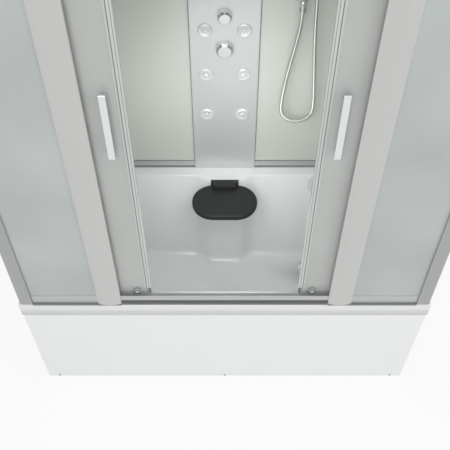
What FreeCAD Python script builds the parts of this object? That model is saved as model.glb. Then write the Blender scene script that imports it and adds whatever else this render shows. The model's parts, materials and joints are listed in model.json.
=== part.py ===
"""Shower cabin with a deep tray, two sliding doors, a massage column and a folding seat.

Millimetres, +Z up. The origin is on the floor under the middle of the cabin,
and the doors are on the -Y side. At rest both doors stand open and the seat is down.
"""
import FreeCAD, Part
import math
import os
import re
import Sketcher
from FreeCAD import Placement, Rotation, Vector

doc = FreeCAD.newDocument("ShowerCabin")
sheet = doc.addObject("Spreadsheet::Sheet", "Sizes")

# Driving dimensions: name, value in millimetres or degrees, meaning.
SIZES = [
    ("cabin_width", 1500, "tray rim, left to right"),
    ("cabin_depth", 800, "tray rim, front to back"),
    ("rim_level", 550, "top of the tray rim over the floor"),
    ("frame_top", 2060, "top of the glazed frame"),
    ("roof_height", 90, "roof over the frame"),
    ("seal_gap", 0.3, "gap that a gasket or a push fit fills"),
    ("running_gap", 0.05, "radial clearance of a shaft in its bush"),
    ("overrun", 4, "how far a cutting solid passes the face it cuts"),
    ("lip_height", 66, "rolled edge of the tray"),
    ("acrylic", 5, "wall of the tray"),
    ("rim_round", 9, "rounding of the tray's outer edges"),
    ("basin_front", 65, "ledge in front of the basin"),
    ("basin_side", 60, "ledge beside the basin"),
    ("basin_back", 155, "ledge behind the basin"),
    ("floor_level", 150, "inside of the basin floor"),
    ("foot_in_front", 60, "how far the front wall leans in"),
    ("foot_in_side", 80, "how far a side wall leans in"),
    ("foot_in_back", 100, "how far the back wall leans in"),
    ("basin_corner", 60, "basin corner radius at the rim"),
    ("foot_corner", 95, "basin corner radius at the floor"),
    ("floor_round", 26, "rounding between wall and floor"),
    ("bulge_reach", 36, "how far the bulge stands out of the back wall"),
    ("bulge_front_half", 56, "half width of the bulge's face"),
    ("bulge_back_half", 126, "half width of the bulge at the wall"),
    ("skirt_sheet", 4, "thickness of the skirts"),
    ("skirt_tuck", 16, "skirt behind the tray lip"),
    ("apron_lift", 5, "front skirt over the floor"),
    ("apron_taper", 8.5, "how far each front skirt edge runs in"),
    ("side_skirt_lift", 120, "side skirt over the floor"),
    ("side_skirt_setback", 15, "side skirt behind the tray's ends"),
    ("screw_level", 11, "apron screws over the floor"),
    ("screw_inset", 57, "outer apron screws inside the rim's ends"),
    ("screw_head", 4, "apron screw head radius"),
    ("screw_shank", 2, "apron screw radius"),
    ("screw_length", 11, "apron screw shank"),
    ("tube_size", 25, "square tube of the base frame"),
    ("tube_wall", 2, "wall of that tube"),
    ("frame_level", 60, "underside of the base frame"),
    ("upright_inset", 33, "frame uprights inside the rim's ends"),
    ("upright_setback", 38, "frame uprights inside the rim's front"),
    ("bearer_front", 180, "front floor tube behind the rim's front"),
    ("bearer_middle", 340, "middle floor tube behind the rim's front"),
    ("bearer_back", 530, "back floor tube behind the rim's front"),
    ("bearer_reach", 290, "floor bearers from the middle"),
    ("bracket_width", 24, "apron bracket"),
    ("bracket_sheet", 3, "apron bracket sheet"),
    ("foot_radius", 25, "levelling foot"),
    ("foot_height", 9, "levelling foot pad"),
    ("stud_radius", 6, "levelling stud"),
    ("nut_radius", 11, "nut on the levelling stud"),
    ("nut_height", 9, "nut on the levelling stud"),
    ("waste_x", 378, "waste right of the middle"),
    ("waste_inset", 95, "waste in front of the basin's back foot"),
    ("waste_radius", 45, "hole in the basin floor"),
    ("waste_lip", 11, "flange round that hole"),
    ("waste_throat", 42, "clear radius of the waste"),
    ("waste_rim", 3, "height of the flange"),
    ("plug_radius", 50, "lifting cover of the waste"),
    ("plug_height", 5, "lifting cover of the waste"),
    ("plug_stem", 4, "stem of the lifting cover"),
    ("plug_drop", 30, "length of the stem"),
    ("spider_boss", 9, "boss that guides the stem"),
    ("spider_arm", 4, "arm that holds the boss"),
    ("trap_radius", 50, "trap bowl"),
    ("trap_height", 58, "trap bowl"),
    ("trap_wall", 3, "plastic wall of trap and pipes"),
    ("outlet_radius", 20, "drain pipe"),
    ("outlet_lift", 5, "drain pipe's end over the floor"),
    ("overflow_level", 511, "middle of the overflow knob"),
    ("overflow_size", 62, "square overflow knob"),
    ("overflow_round", 12, "corners of the overflow knob"),
    ("overflow_thick", 11, "overflow knob"),
    ("overflow_throat", 19, "overflow body in the tray wall"),
    ("overflow_flange", 29, "overflow body behind the wall"),
    ("overflow_pipe", 12, "overflow pipe"),
    ("overflow_clear", 3, "overflow pipe over the frame tube"),
    ("overflow_stem", 6, "spindle of the overflow knob"),
    ("overflow_depth", 24, "overflow body behind the wall"),
    ("post_margin", 5.5, "corner posts inside the rim's ends"),
    ("post_width", 50, "corner post, seen from the front"),
    ("post_depth", 47, "corner post, seen from the side"),
    ("post_setback", 3, "corner posts behind the rim's front"),
    ("post_wall", 2.5, "wall of the posts"),
    ("post_round", 14, "outer corner of the posts"),
    ("slot_depth", 11.5, "how far a pane stands in its slot"),
    ("pane", 5, "thickness of the fixed panes"),
    ("fixed_setback", 10, "fixed front panes behind the rim's front"),
    ("side_pane_inset", 18, "side panes inside the rim's ends"),
    ("sill_setback", 9, "sill behind the rim's front"),
    ("sill_height", 46, "front sill"),
    ("sill_thick", 17, "upstand of the sill"),
    ("sill_recess", 10, "shadow gap under the sill's face, in the doorway"),
    ("sill_recess_height", 20, "height of that gap"),
    ("sill_base", 5, "floor of the sill"),
    ("sill_tail", 10, "sill behind the door"),
    ("sill_lip", 4, "rear lip of the sill"),
    ("sill_lip_height", 25, "rear lip of the sill"),
    ("glazing_bite", 6, "panes in the sill and header"),
    ("header_height", 60, "front header"),
    ("header_base", 12, "track plate in the header"),
    ("header_wall", 4, "walls of the header"),
    ("header_lip", 17, "rear lip of the header"),
    ("mullion_width", 84, "mullion"),
    ("mullion_edge", 11, "mullion thickness at its edges"),
    ("mullion_behind", 2, "mullion behind the fixed pane"),
    ("door_pane", 5, "thickness of the door"),
    ("door_gap", 3, "door behind the sill's upstand"),
    ("door_park", 22.5, "open door's trailing edge inside the corner post"),
    ("door_show", 97, "open door's leading edge inside the mullion"),
    ("door_lap", 23, "door pane wider than half the doorway"),
    ("door_lift", 25, "door's lower edge over the rim"),
    ("door_above_axle", 18, "door over its upper axles"),
    ("strip_width", 13.5, "magnetic strip on the leading edge"),
    ("strip_reach", 2.4, "strip in front of the pane"),
    ("strip_behind", 3, "strip behind the pane"),
    ("strip_grip", 8, "strip's lips on the pane"),
    ("strip_trim", 5, "strip shorter than the door, each end"),
    ("wiper_width", 8, "seal on the trailing edge"),
    ("wiper_reach", 11, "that seal in front of the pane"),
    ("wiper_trim", 4, "that seal clear of sill and header"),
    ("lower_wheel", 13, "lower wheel radius"),
    ("upper_wheel", 16, "upper wheel radius"),
    ("wheel_width", 6, "wheels"),
    ("wheel_stand", 4, "wheels in front of the door"),
    ("wheel_from_edge", 36, "wheels inside the door's edges"),
    ("wheel_ease", 1, "chamfer of the wheels"),
    ("axle_radius", 3, "wheel axle"),
    ("axle_cap", 5.5, "cap on the axle"),
    ("axle_cap_height", 1.3, "cap on the axle"),
    ("clamp_shank", 6, "bush in the door pane"),
    ("clamp_flange", 8, "front flange of the bush"),
    ("clamp_nut", 11, "rear nut of the bush"),
    ("clamp_nut_height", 9, "rear nut of the bush"),
    ("handle_inset", 41.5, "handle's middle from the door's leading edge"),
    ("handle_low", 1288, "handle's lower end"),
    ("handle_length", 232, "handle"),
    ("handle_width", 21, "handle"),
    ("handle_thick", 8, "handle"),
    ("handle_stand", 18, "clear space behind the handle"),
    ("handle_round", 2.5, "rounded edges of the handle"),
    ("handle_post", 6, "handle post radius"),
    ("handle_post_inset", 22, "posts inside the handle's ends"),
    ("handle_screw", 5.4, "screw through the door behind a post"),
    ("handle_screw_gap", 0.1, "door hole round that screw"),
    ("handle_cap", 9, "cap inside the door"),
    ("handle_cap_height", 8, "cap inside the door"),
    ("service_depth", 97, "space behind the back panels"),
    ("rail_reach", 5, "back rail in front of the panels"),
    ("rail_depth", 18, "back rail"),
    ("rail_height", 33, "lower back and side rails"),
    ("rail_recess", 7, "shadow gap under the back rail"),
    ("top_rail_height", 50, "upper rails"),
    ("side_rail_width", 30, "side rails"),
    ("back_post_front", 6, "back posts in front of the panels"),
    ("column_half", 125, "half width of the column"),
    ("column_reach", 13, "column in front of the panels"),
    ("column_depth", 54, "column"),
    ("column_sheet", 4, "sheet of the column"),
    ("column_round", 3, "front edges of the column"),
    ("jet_spread", 69, "jets from the middle"),
    ("jet_level", 852, "lowest row of jets"),
    ("jet_pitch", 193, "rows of jets"),
    ("jet_radius", 27, "jet flange"),
    ("jet_thick", 7, "jet flange"),
    ("jet_dish", 2.5, "dish in the jet"),
    ("jet_dish_radius", 22, "dish in the jet"),
    ("jet_nub", 8, "nozzle of the jet"),
    ("jet_nub_reach", 4, "nozzle over the flange"),
    ("jet_stem", 6, "stem through the column"),
    ("jet_bore", 1.6, "spray holes"),
    ("jet_bore_ring", 15.5, "ring of the spray holes"),
    ("mixer_level", 1130, "underside of the mixer"),
    ("mixer_height", 210, "mixer"),
    ("mixer_half", 80, "half width of the mixer"),
    ("mixer_depth", 38, "mixer"),
    ("mixer_wall", 8, "rim of the mixer casting"),
    ("mixer_front", 14, "front of the mixer casting"),
    ("mixer_knob_level", 1165, "mixer knob"),
    ("diverter_level", 1300, "diverter knob"),
    ("spindle", 5, "spindle radius"),
    ("spindle_reach", 22, "spindle in front of the column"),
    ("spindle_boss", 13, "boss round a spindle"),
    ("knob_gap", 1, "knob in front of the column"),
    ("mixer_knob_radius", 31, "mixer knob"),
    ("diverter_radius", 25, "diverter knob"),
    ("knob_height", 27, "knobs"),
    ("knob_flute", 3, "grip flutes"),
    ("inlet_radius", 10.5, "hot and cold inlets"),
    ("inlet_reach", 26, "inlets behind the mixer"),
    ("inlet_boss", 16, "boss round an inlet"),
    ("inlet_spread", 50, "inlets from the middle"),
    ("pipe_radius", 7, "pipes behind the column"),
    ("riser_radius", 9, "riser to the rain shower"),
    ("riser_rise", 38, "riser over the frame"),
    ("outlet_x", 262, "hose outlet right of the middle"),
    ("outlet_level", 1366, "hose outlet"),
    ("outlet_stand", 41, "hose outlet in front of the panel"),
    ("outlet_rose", 27, "cover plate of the outlet"),
    ("outlet_rose_thick", 6, "cover plate of the outlet"),
    ("outlet_body", 12, "outlet elbow"),
    ("outlet_drop", 36, "elbow's middle to the hose"),
    ("hose_radius", 7, "hose"),
    ("hose_bore", 4.5, "bore of the hose"),
    ("hose_root", 6.1, "hose between its ribs"),
    ("bar_x", 300, "slide bar right of the middle"),
    ("bar_stand", 45, "slide bar in front of the panel"),
    ("bar_radius", 9, "slide bar"),
    ("bar_low", 1390, "slide bar's lower end"),
    ("bar_length", 580, "slide bar"),
    ("bar_foot", 12, "slide bar bracket"),
    ("bar_foot_rose", 20, "plate of that bracket"),
    ("bar_foot_thick", 5, "plate of that bracket"),
    ("bar_foot_inset", 20, "brackets inside the bar's ends"),
    ("pivot_level", 1770, "tilt axis of the hand shower"),
    ("pivot_stand", 40, "tilt axis in front of the bar"),
    ("slider_radius", 17, "slider"),
    ("slider_half", 22, "half height of the slider"),
    ("fork_half", 18.3, "half gap of the slider's fork"),
    ("fork_wall", 5, "fork cheeks"),
    ("fork_clear", 1.5, "fork behind the cradle"),
    ("fork_half_height", 12, "fork cheeks"),
    ("fork_nose", 13, "fork in front of the tilt axis"),
    ("clamp_knob", 11, "clamping knob of the slider"),
    ("clamp_knob_reach", 20, "clamping knob of the slider"),
    ("pivot_pin", 4, "pins of the cradle"),
    ("cradle_radius", 17, "cradle"),
    ("cradle_height", 32, "cradle"),
    ("cradle_drop", 10, "cradle under the tilt axis"),
    ("grip_radius", 11, "hand shower's grip"),
    ("grip_length", 165, "hand shower's grip"),
    ("spray_radius", 42, "hand shower's head"),
    ("spray_thick", 16, "hand shower's head"),
    ("spray_drop", 12, "head in front of the grip"),
    ("hand_lean", 14, "lean of the hand shower in degrees"),
    ("roof_round", 30, "corners of the roof"),
    ("roof_skirt", 30, "upright edge of the roof"),
    ("roof_inset", 70, "how far the roof's slope runs in"),
    ("roof_wall", 4, "roof shell"),
    ("roof_overlap", 1.5, "roof beyond the posts"),
    ("rain_radius", 110, "rain shower"),
    ("rain_thick", 10, "rain shower"),
    ("rain_hang", 74, "rain shower under the roof"),
    ("rain_y", -20, "rain shower from the middle"),
    ("rain_stem", 9, "rain shower stem"),
    ("rain_nozzle", 1.5, "rain shower nozzles"),
    ("seat_half_straight", 46, "straight part of the seat's edge"),
    ("seat_round", 86.5, "round ends of the seat"),
    ("seat_rear_gap", 17, "seat in front of the bulge at the rim"),
    ("seat_thick", 27, "seat"),
    ("seat_top", 2, "seat's top over the rim"),
    ("seat_ease", 7, "rounded edges of the seat"),
    ("seat_plate", 5.7, "wall plate of the seat"),
    ("seat_plate_half", 57, "wall plate of the seat"),
    ("seat_plate_low", 50, "wall plate under the rim"),
    ("seat_plate_high", 14, "wall plate over the rim"),
    ("hinge_level", 16, "seat hinge over the rim"),
    ("hinge_stand", 15, "seat hinge in front of the bulge"),
    ("hinge_ear", 10, "ears of the wall plate"),
    ("hinge_knuckle", 9, "knuckles of the seat"),
    ("hinge_pin", 4, "seat pin"),
    ("arm_width", 10.7, "seat arms"),
    ("arm_reach", 30, "seat arms in front of the hinge"),
    ("flap_wall", 1.6, "wall of the seat's flap round the pin"),
    ("heel_half", 30, "heel that stops the seat"),
    ("heel_height", 8, "heel that stops the seat"),
]

# Places worked out from the driving dimensions.
PLACES = {
    "half_width": "cabin_width / 2",
    "front": "-cabin_depth / 2",
    "back": "cabin_depth / 2",
    "basin_x": "half_width - basin_side",
    "basin_near": "front + basin_front",
    "basin_far": "back - basin_back",
    "floor_x": "basin_x - foot_in_side",
    "floor_near": "basin_near + foot_in_front",
    "floor_far": "basin_far - foot_in_back",
    "wall_lean": "foot_in_back / (rim_level - floor_level)",
    "knee_level": "floor_level + floor_round",
    "knee_share": "(rim_level - knee_level) / (rim_level - floor_level)",
    "knee_x": "basin_x - foot_in_side * knee_share",
    "knee_near": "basin_near + foot_in_front * knee_share",
    "knee_far": "basin_far - foot_in_back * knee_share",
    "bulge_face": "basin_far - bulge_reach",
    "lip_inside": "half_width - acrylic",
    "lip_near": "front + acrylic",
    "lip_low": "rim_level - lip_height",
    "skirt_top": "lip_low + skirt_tuck",
    "skirt_x": "lip_inside - seal_gap",
    "apron_face": "lip_near + seal_gap",
    "apron_back": "apron_face + skirt_sheet",
    "tray_under": "floor_level - acrylic",
    "rim_under": "rim_level - acrylic",
    "frame_x": "half_width - upright_inset",
    "screw_reach": "half_width - screw_inset",
    "frame_y": "back - upright_setback",
    "tube_top": "frame_level + tube_size",
    "waste_y": "floor_far - waste_inset",
    "trap_top": "tray_under - plug_drop",
    "overflow_y": "basin_far - (rim_level - overflow_level) * wall_lean",
    "overflow_pipe_y": "basin_far + acrylic + overflow_depth",
    "overflow_run": "frame_level + tube_size + overflow_pipe + overflow_clear",
    "post_outer": "half_width - post_margin",
    "post_inner": "post_outer - post_width",
    "post_face": "front + post_setback",
    "post_rear": "post_face + post_depth",
    "slot_end": "post_inner + slot_depth",
    "pane_front": "front + fixed_setback",
    "pane_back": "pane_front + pane",
    "slot_front": "pane_front - seal_gap",
    "slot_back": "pane_back + seal_gap",
    "sill_face": "front + sill_setback",
    "upstand_back": "sill_face + sill_thick",
    "sill_top": "rim_level + sill_height",
    "door_front": "upstand_back + door_gap",
    "door_back": "door_front + door_pane",
    "sill_rear": "door_back + sill_tail",
    "header_under": "frame_top - header_height",
    "track_top": "header_under + header_base",
    "door_width": "(post_inner - door_park + door_show + door_lap) / 2",
    "mullion_inner": "door_width - door_lap",
    "mullion_outer": "mullion_inner + mullion_width",
    "mullion_back": "pane_back + mullion_behind",
    "mullion_front": "mullion_back - mullion_edge",
    "door_low": "rim_level + door_lift",
    "wheel_back": "door_front - wheel_stand",
    "lower_axle": "sill_top + seal_gap + lower_wheel",
    "upper_axle": "track_top + seal_gap + upper_wheel",
    "door_high": "upper_axle + door_above_axle",
    "door_edge": "mullion_inner - door_show",
    "door_trail": "door_edge + door_width",
    "handle_x": "door_edge + handle_inset",
    "side_outer": "half_width - side_pane_inset",
    "side_inner": "side_outer - pane",
    "panel_face": "back - service_depth",
    "panel_back": "panel_face + pane",
    "back_post_face": "panel_face - back_post_front",
    "back_post_rear": "back_post_face + post_depth",
    "rail_face": "panel_face - rail_reach",
    "rail_top": "rim_level + rail_height",
    "top_rail_low": "frame_top - top_rail_height",
    "side_rail_inner": "post_outer - side_rail_width",
    "column_face": "panel_face - column_reach",
    "column_inside": "column_face + column_sheet",
    "column_rear": "column_face + column_depth",
    "mixer_face": "column_inside + jet_stem",
    "mixer_rear": "mixer_face + mixer_depth",
    "pipe_y": "mixer_face + pipe_radius",
    "riser_y": "mixer_rear - riser_radius * 2",
    "outlet_y": "panel_face - outlet_stand",
    "hose_start": "outlet_level - outlet_drop",
    "bar_y": "panel_face - bar_stand",
    "bar_high": "bar_low + bar_length",
    "pivot_y": "bar_y - pivot_stand",
    "roof_x": "post_outer + roof_overlap",
    "roof_near": "post_face - roof_overlap",
    "roof_far": "back_post_rear + roof_overlap",
    "roof_top": "frame_top + roof_height",
    "roof_ceiling": "roof_top - roof_wall",
    "rain_low": "roof_ceiling - rain_hang",
    "hinge_y": "bulge_face - hinge_stand",
    "hinge_z": "rim_level + hinge_level",
    "seat_z_high": "rim_level + seat_top",
    "seat_z_low": "seat_z_high - seat_thick",
    "seat_rear": "bulge_face - seat_rear_gap",
    "seat_middle": "seat_rear - seat_round",
}

# The hose's route, in mm, from the outlet elbow round its loop to the hand shower.
HOSE_ROUTE = [
    (262, 262, 1330), (262, 262, 1285), (252, 260, 1200), (231, 257, 1075), (212.5, 252, 955),
    (212.5, 252, 888.3), (229.3, 252, 859.3), (258.3, 252, 842.5), (291.7, 252, 842.5),
    (320.7, 252, 859.3), (337.5, 252, 888.3), (337.5, 252, 955), (328, 248, 1080),
    (314, 240, 1240), (304, 231, 1400), (299, 226, 1555), (298.5, 229, 1665),
    (300, 228.2, 1729.2), (300, 218.1, 1769.7),
]
HOSE_RIBS = 190
ARC_SHARE = 0.45
JET_HOLES = 8
JET_ROWS = 3
RAIN_RINGS = 3
KNOB_FLUTES = 8
# An edge this close to a place, in millimetres, counts as lying there.
NEAR = 1

for line, (alias, value, meaning) in enumerate(SIZES, start=1):
    sheet.set(f"A{line}", alias)
    sheet.set(f"B{line}", str(value))
    sheet.setAlias(f"B{line}", alias)
    sheet.set(f"C{line}", meaning)
doc.recompute()

ALIASES = {alias for alias, value, meaning in SIZES}
nodes = {}


def named(text):
    """The expression with each place written out and each size pointing at the sheet."""
    def swap(match):
        word = match.group(0)
        if word in PLACES:
            return "(" + named(PLACES[word]) + ")"
        return f"Sizes.{word}" if word in ALIASES else word
    return re.sub(r"[a-z_]+", swap, text)


def mm(text):
    """The value of an expression, as a number."""
    return float(sheet.evalExpression(named(text)))


def bind(thing, **settings):
    """Tie properties of a document object to expressions."""
    for name, text in settings.items():
        thing.setExpression(name, named(text))


def seat_at(thing, x, y, z):
    """Tie an object's position to expressions."""
    thing.setExpression("Placement.Base.x", named(x))
    thing.setExpression("Placement.Base.y", named(y))
    thing.setExpression("Placement.Base.z", named(z))


def box(xs, ys, zs):
    """A block between three pairs of expressions."""
    block = doc.addObject("Part::Box", "Block")
    bind(block, Length=f"({xs[1]}) - ({xs[0]})", Width=f"({ys[1]}) - ({ys[0]})",
         Height=f"({zs[1]}) - ({zs[0]})")
    seat_at(block, xs[0], ys[0], zs[0])
    return block


def rod(axis, radius, span, across):
    """A cylinder along x, y or z: its span on that axis and its place on the other two."""
    piece = doc.addObject("Part::Cylinder", "Rod")
    turns = {"x": Rotation(Vector(0, 1, 0), 90), "y": Rotation(Vector(1, 0, 0), -90), "z": Rotation()}
    piece.Placement = Placement(Vector(), turns[axis])
    bind(piece, Radius=radius, Height=f"({span[1]}) - ({span[0]})")
    place = {"x": (span[0], *across), "y": (across[0], span[0], across[1]), "z": (*across, span[0])}
    seat_at(piece, *place[axis])
    return piece


def fuse(*pieces):
    """Several solids joined into one."""
    joined = doc.addObject("Part::MultiFuse", "Joined")
    joined.Shapes = list(pieces)
    joined.Refine = True
    return joined


def cut(base, *tools):
    """A solid with other solids taken out of it."""
    for tool in tools:
        result = doc.addObject("Part::Cut", "Cut")
        result.Base = base
        result.Tool = tool
        base = result
    return base


def group(*pieces):
    """Separate solids kept side by side in one node."""
    together = doc.addObject("Part::Compound", "Group")
    together.Links = list(pieces)
    return together


def mirrored(source):
    """The same piece on the other side of the middle."""
    copy = doc.addObject("Part::Mirroring", "Mirrored")
    copy.Source = source
    copy.Normal = Vector(1, 0, 0)
    return copy


def rounded(base, radius, wanted):
    """Fillet the edges that wanted() picks."""
    doc.recompute()
    result = doc.addObject("Part::Fillet", "Rounded")
    result.Base = base
    size = mm(radius)
    result.Edges = [(n, size, size) for n, edge in enumerate(base.Shape.Edges, start=1) if wanted(edge)]
    return result


def runs_along(edge, axis):
    """Is the edge a straight line along this axis?"""
    if edge.Curve.TypeId != "Part::GeomLine":
        return False
    return abs(edge.tangentAt(edge.FirstParameter).dot(axis)) > 0.999


def closed_outline(sketch, points):
    """A closed line through points whose coordinates are expressions, fully dimensioned."""
    corners = [Vector(mm(u), mm(v), 0) for u, v in points]
    count = len(corners)
    for i in range(count):
        sketch.addGeometry(Part.LineSegment(corners[i], corners[(i + 1) % count]), False)
    for i in range(count):
        sketch.addConstraint(Sketcher.Constraint("Coincident", i, 2, (i + 1) % count, 1))
    for i, (u, v) in enumerate(points):
        for kind, text, value, axis in (("DistanceX", u, corners[i].x, -2), ("DistanceY", v, corners[i].y, -1)):
            if text == "0":
                sketch.addConstraint(Sketcher.Constraint("PointOnObject", i, 1, axis))
                continue
            number = sketch.addConstraint(Sketcher.Constraint(kind, i, 1, value))
            sketch.renameConstraint(number, f"{kind}{i}")
            sketch.setExpression(f"Constraints.{kind}{i}", named(text))


def rounded_outline(sketch, xs, ys, radius):
    """A rectangle with rounded corners, fully dimensioned."""
    x0, x1, y0, y1, r = mm(xs[0]), mm(xs[1]), mm(ys[0]), mm(ys[1]), mm(radius)
    lines = [((x0 + r, y0), (x1 - r, y0)), ((x1, y0 + r), (x1, y1 - r)),
             ((x1 - r, y1), (x0 + r, y1)), ((x0, y1 - r), (x0, y0 + r))]
    for start, end in lines:
        sketch.addGeometry(Part.LineSegment(Vector(*start, 0), Vector(*end, 0)), False)
    centres = [(x1 - r, y0 + r, -90), (x1 - r, y1 - r, 0), (x0 + r, y1 - r, 90), (x0 + r, y0 + r, 180)]
    for x, y, start in centres:
        circle = Part.Circle(Vector(x, y, 0), Vector(0, 0, 1), r)
        arc = Part.ArcOfCircle(circle, math.radians(start), math.radians(start + 90))
        sketch.addGeometry(arc, False)
    for i in range(4):
        sketch.addConstraint(Sketcher.Constraint("Tangent", i, 2, 4 + i, 1))
        sketch.addConstraint(Sketcher.Constraint("Tangent", 4 + i, 2, (i + 1) % 4, 1))
        sketch.addConstraint(Sketcher.Constraint("Horizontal" if i % 2 == 0 else "Vertical", i))
    sizes = [("DistanceY", 0, y0, ys[0]), ("DistanceX", 1, x1, xs[1]), ("DistanceY", 2, y1, ys[1]),
             ("DistanceX", 3, x0, xs[0])]
    for kind, line, value, text in sizes:
        number = sketch.addConstraint(Sketcher.Constraint(kind, line, 1, value))
        sketch.renameConstraint(number, f"side{line}")
        sketch.setExpression(f"Constraints.side{line}", named(text))
    for arc in range(4, 8):
        number = sketch.addConstraint(Sketcher.Constraint("Radius", arc, r))
        sketch.renameConstraint(number, f"corner{arc}")
        sketch.setExpression(f"Constraints.corner{arc}", named(radius))


def new_body(label, plane):
    """A body and a sketch on one of its own planes."""
    body = doc.addObject("PartDesign::Body", label)
    sketch = body.newObject("Sketcher::SketchObject", label + "_sketch")
    origin_plane = [o for o in body.Origin.OriginFeatures if o.Role == plane + "_Plane"][0]
    sketch.AttachmentSupport = [(origin_plane, "")]
    sketch.MapMode = "FlatFace"
    return body, sketch


def padded(label, plane, points, length, middle=True):
    """A body extruded from an outline."""
    body, sketch = new_body(label, plane)
    closed_outline(sketch, points)
    pad = body.newObject("PartDesign::Pad", label + "_pad")
    pad.Profile = sketch
    pad.Midplane = middle
    bind(pad, Length=length)
    return body


def turned(label, profile, x, y, z, facing="up"):
    """A body turned round its own upright axis, then pointed up or to the front."""
    body, sketch = new_body(label, "XZ")
    closed_outline(sketch, profile)
    spin = body.newObject("PartDesign::Revolution", label + "_spin")
    spin.Profile = sketch
    spin.ReferenceAxis = (sketch, ["V_Axis"])
    spin.Angle = 360
    turn = Rotation(Vector(1, 0, 0), 90) if facing == "front" else Rotation()
    body.Placement = Placement(Vector(), turn)
    seat_at(body, x, y, z)
    return body


def drilled_ring(body, label, radius, ring, count):
    """Round holes right through a turned body, evenly spread on a ring."""
    sketch = body.newObject("Sketcher::SketchObject", label + "_holes")
    plane = [o for o in body.Origin.OriginFeatures if o.Role == "XY_Plane"][0]
    sketch.AttachmentSupport = [(plane, "")]
    sketch.MapMode = "FlatFace"
    sketch.addGeometry(Part.Circle(Vector(mm(ring), 0, 0), Vector(0, 0, 1), mm(radius)), False)
    sketch.addConstraint(Sketcher.Constraint("PointOnObject", 0, 3, -1))
    for name, kind, text in (("ring", "DistanceX", ring), ("bore", "Radius", radius)):
        limits = (0, 3, mm(text)) if kind == "DistanceX" else (0, mm(text))
        number = sketch.addConstraint(Sketcher.Constraint(kind, *limits))
        sketch.renameConstraint(number, name)
        sketch.setExpression(f"Constraints.{name}", named(text))
    pocket = body.newObject("PartDesign::Pocket", label + "_pocket")
    pocket.Profile = sketch
    pocket.Type = "ThroughAll"
    pocket.Midplane = True
    pattern = body.newObject("PartDesign::PolarPattern", label + "_pattern")
    pattern.Originals = [pocket]
    pattern.Axis = (sketch, ["N_Axis"])
    pattern.Angle = 360
    pattern.Occurrences = count
    body.Tip = pattern


def lofted(sections):
    """A solid through rounded rectangles: (xs, ys, level, corner radius) from top to bottom."""
    sketches = []
    for xs, ys, level, radius in sections:
        sketch = doc.addObject("Sketcher::SketchObject", "Section")
        rounded_outline(sketch, xs, ys, radius)
        sketch.setExpression("Placement.Base.z", named(level))
        sketches.append(sketch)
    loft = doc.addObject("Part::Loft", "Loft")
    loft.Sections = sketches
    loft.Solid = True
    loft.Ruled = True
    return loft


def node(label, thing):
    """Give a finished piece its name."""
    thing.Label = label
    nodes[label] = thing
    return thing


def pair(label, thing):
    """Name the left piece and add its mirror image on the right."""
    node(label.replace("SIDE", "left"), thing)
    node(label.replace("SIDE", "right"), mirrored(thing))
    return thing


# Tray: a rolled rim, a basin with leaning walls and a bulge in the back wall.
def basin_sections(grow, top):
    """The basin's inside grown by an expression: a knee above the floor stands for the rounding."""
    rim = ((f"-basin_x - {grow}", f"basin_x + {grow}"), (f"basin_near - {grow}", f"basin_far + {grow}"),
           top, "basin_corner")
    knee = ((f"-knee_x - {grow}", f"knee_x + {grow}"), (f"knee_near - {grow}", f"knee_far + {grow}"),
            f"knee_level - {grow}", "foot_corner")
    sole = ((f"-floor_x + floor_round - {grow}", f"floor_x - floor_round + {grow}"),
            (f"floor_near + floor_round - {grow}", f"floor_far - floor_round + {grow}"),
            f"floor_level - {grow}", "foot_corner - floor_round")
    return [rim, knee, sole]


def bulge(grow, top, bottom):
    """The bulge: a ruled block between two trapezoids that lean with the back wall."""
    sketches = []
    for level in (top, bottom):
        far = f"basin_far - (rim_level - ({level})) * wall_lean"
        sketch = doc.addObject("Sketcher::SketchObject", "BulgeSection")
        closed_outline(sketch, [
            (f"-bulge_front_half + {grow}", f"{far} - bulge_reach + {grow}"),
            (f"bulge_front_half - {grow}", f"{far} - bulge_reach + {grow}"),
            (f"bulge_back_half - {grow}", f"{far} + acrylic + overrun"),
            (f"-bulge_back_half + {grow}", f"{far} + acrylic + overrun")])
        sketch.setExpression("Placement.Base.z", named(level))
        sketches.append(sketch)
    loft = doc.addObject("Part::Loft", "Bulge")
    loft.Sections = sketches
    loft.Solid = True
    loft.Ruled = True
    return loft


def make_tray():
    slab = box(("-half_width", "half_width"), ("front", "back"), ("lip_low", "rim_level"))
    slab = rounded(slab, "rim_round", lambda e: e.BoundBox.ZMax > mm("rim_level") - NEAR)
    hollow = box(("-lip_inside", "lip_inside"), ("lip_near", "-lip_near"), ("lip_low - overrun", "rim_under"))
    outside = lofted(basin_sections("acrylic", "rim_under"))
    inside = lofted(basin_sections("0", "rim_level"))
    cavity = cut(inside, bulge("0", "rim_level + overrun", "floor_level - overrun"))
    tray = cut(fuse(cut(slab, hollow), outside), cavity)
    tray = cut(tray, bulge("acrylic", "rim_under", "tray_under - overrun"))
    waste = rod("z", "waste_radius", ("tray_under - overrun", "floor_level + overrun"), ("waste_x", "waste_y"))
    opening = doc.addObject("Part::Cylinder", "OverflowHole")
    bind(opening, Radius="overflow_throat + seal_gap", Height="overflow_depth * 2")
    opening.Placement = on_wall("-overflow_depth")
    node("tray", cut(tray, waste, opening))


def on_wall(height):
    """A placement on the leaning back wall at the overflow, its own Z pointing into the basin."""
    lean = math.degrees(math.atan(mm("wall_lean")))
    turn = Rotation(Vector(1, 0, 0), 90 - lean)
    start = Vector(mm("waste_x"), mm("overflow_y"), mm("overflow_level"))
    return Placement(start + turn.multVec(Vector(0, 0, mm(height))), turn)


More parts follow.
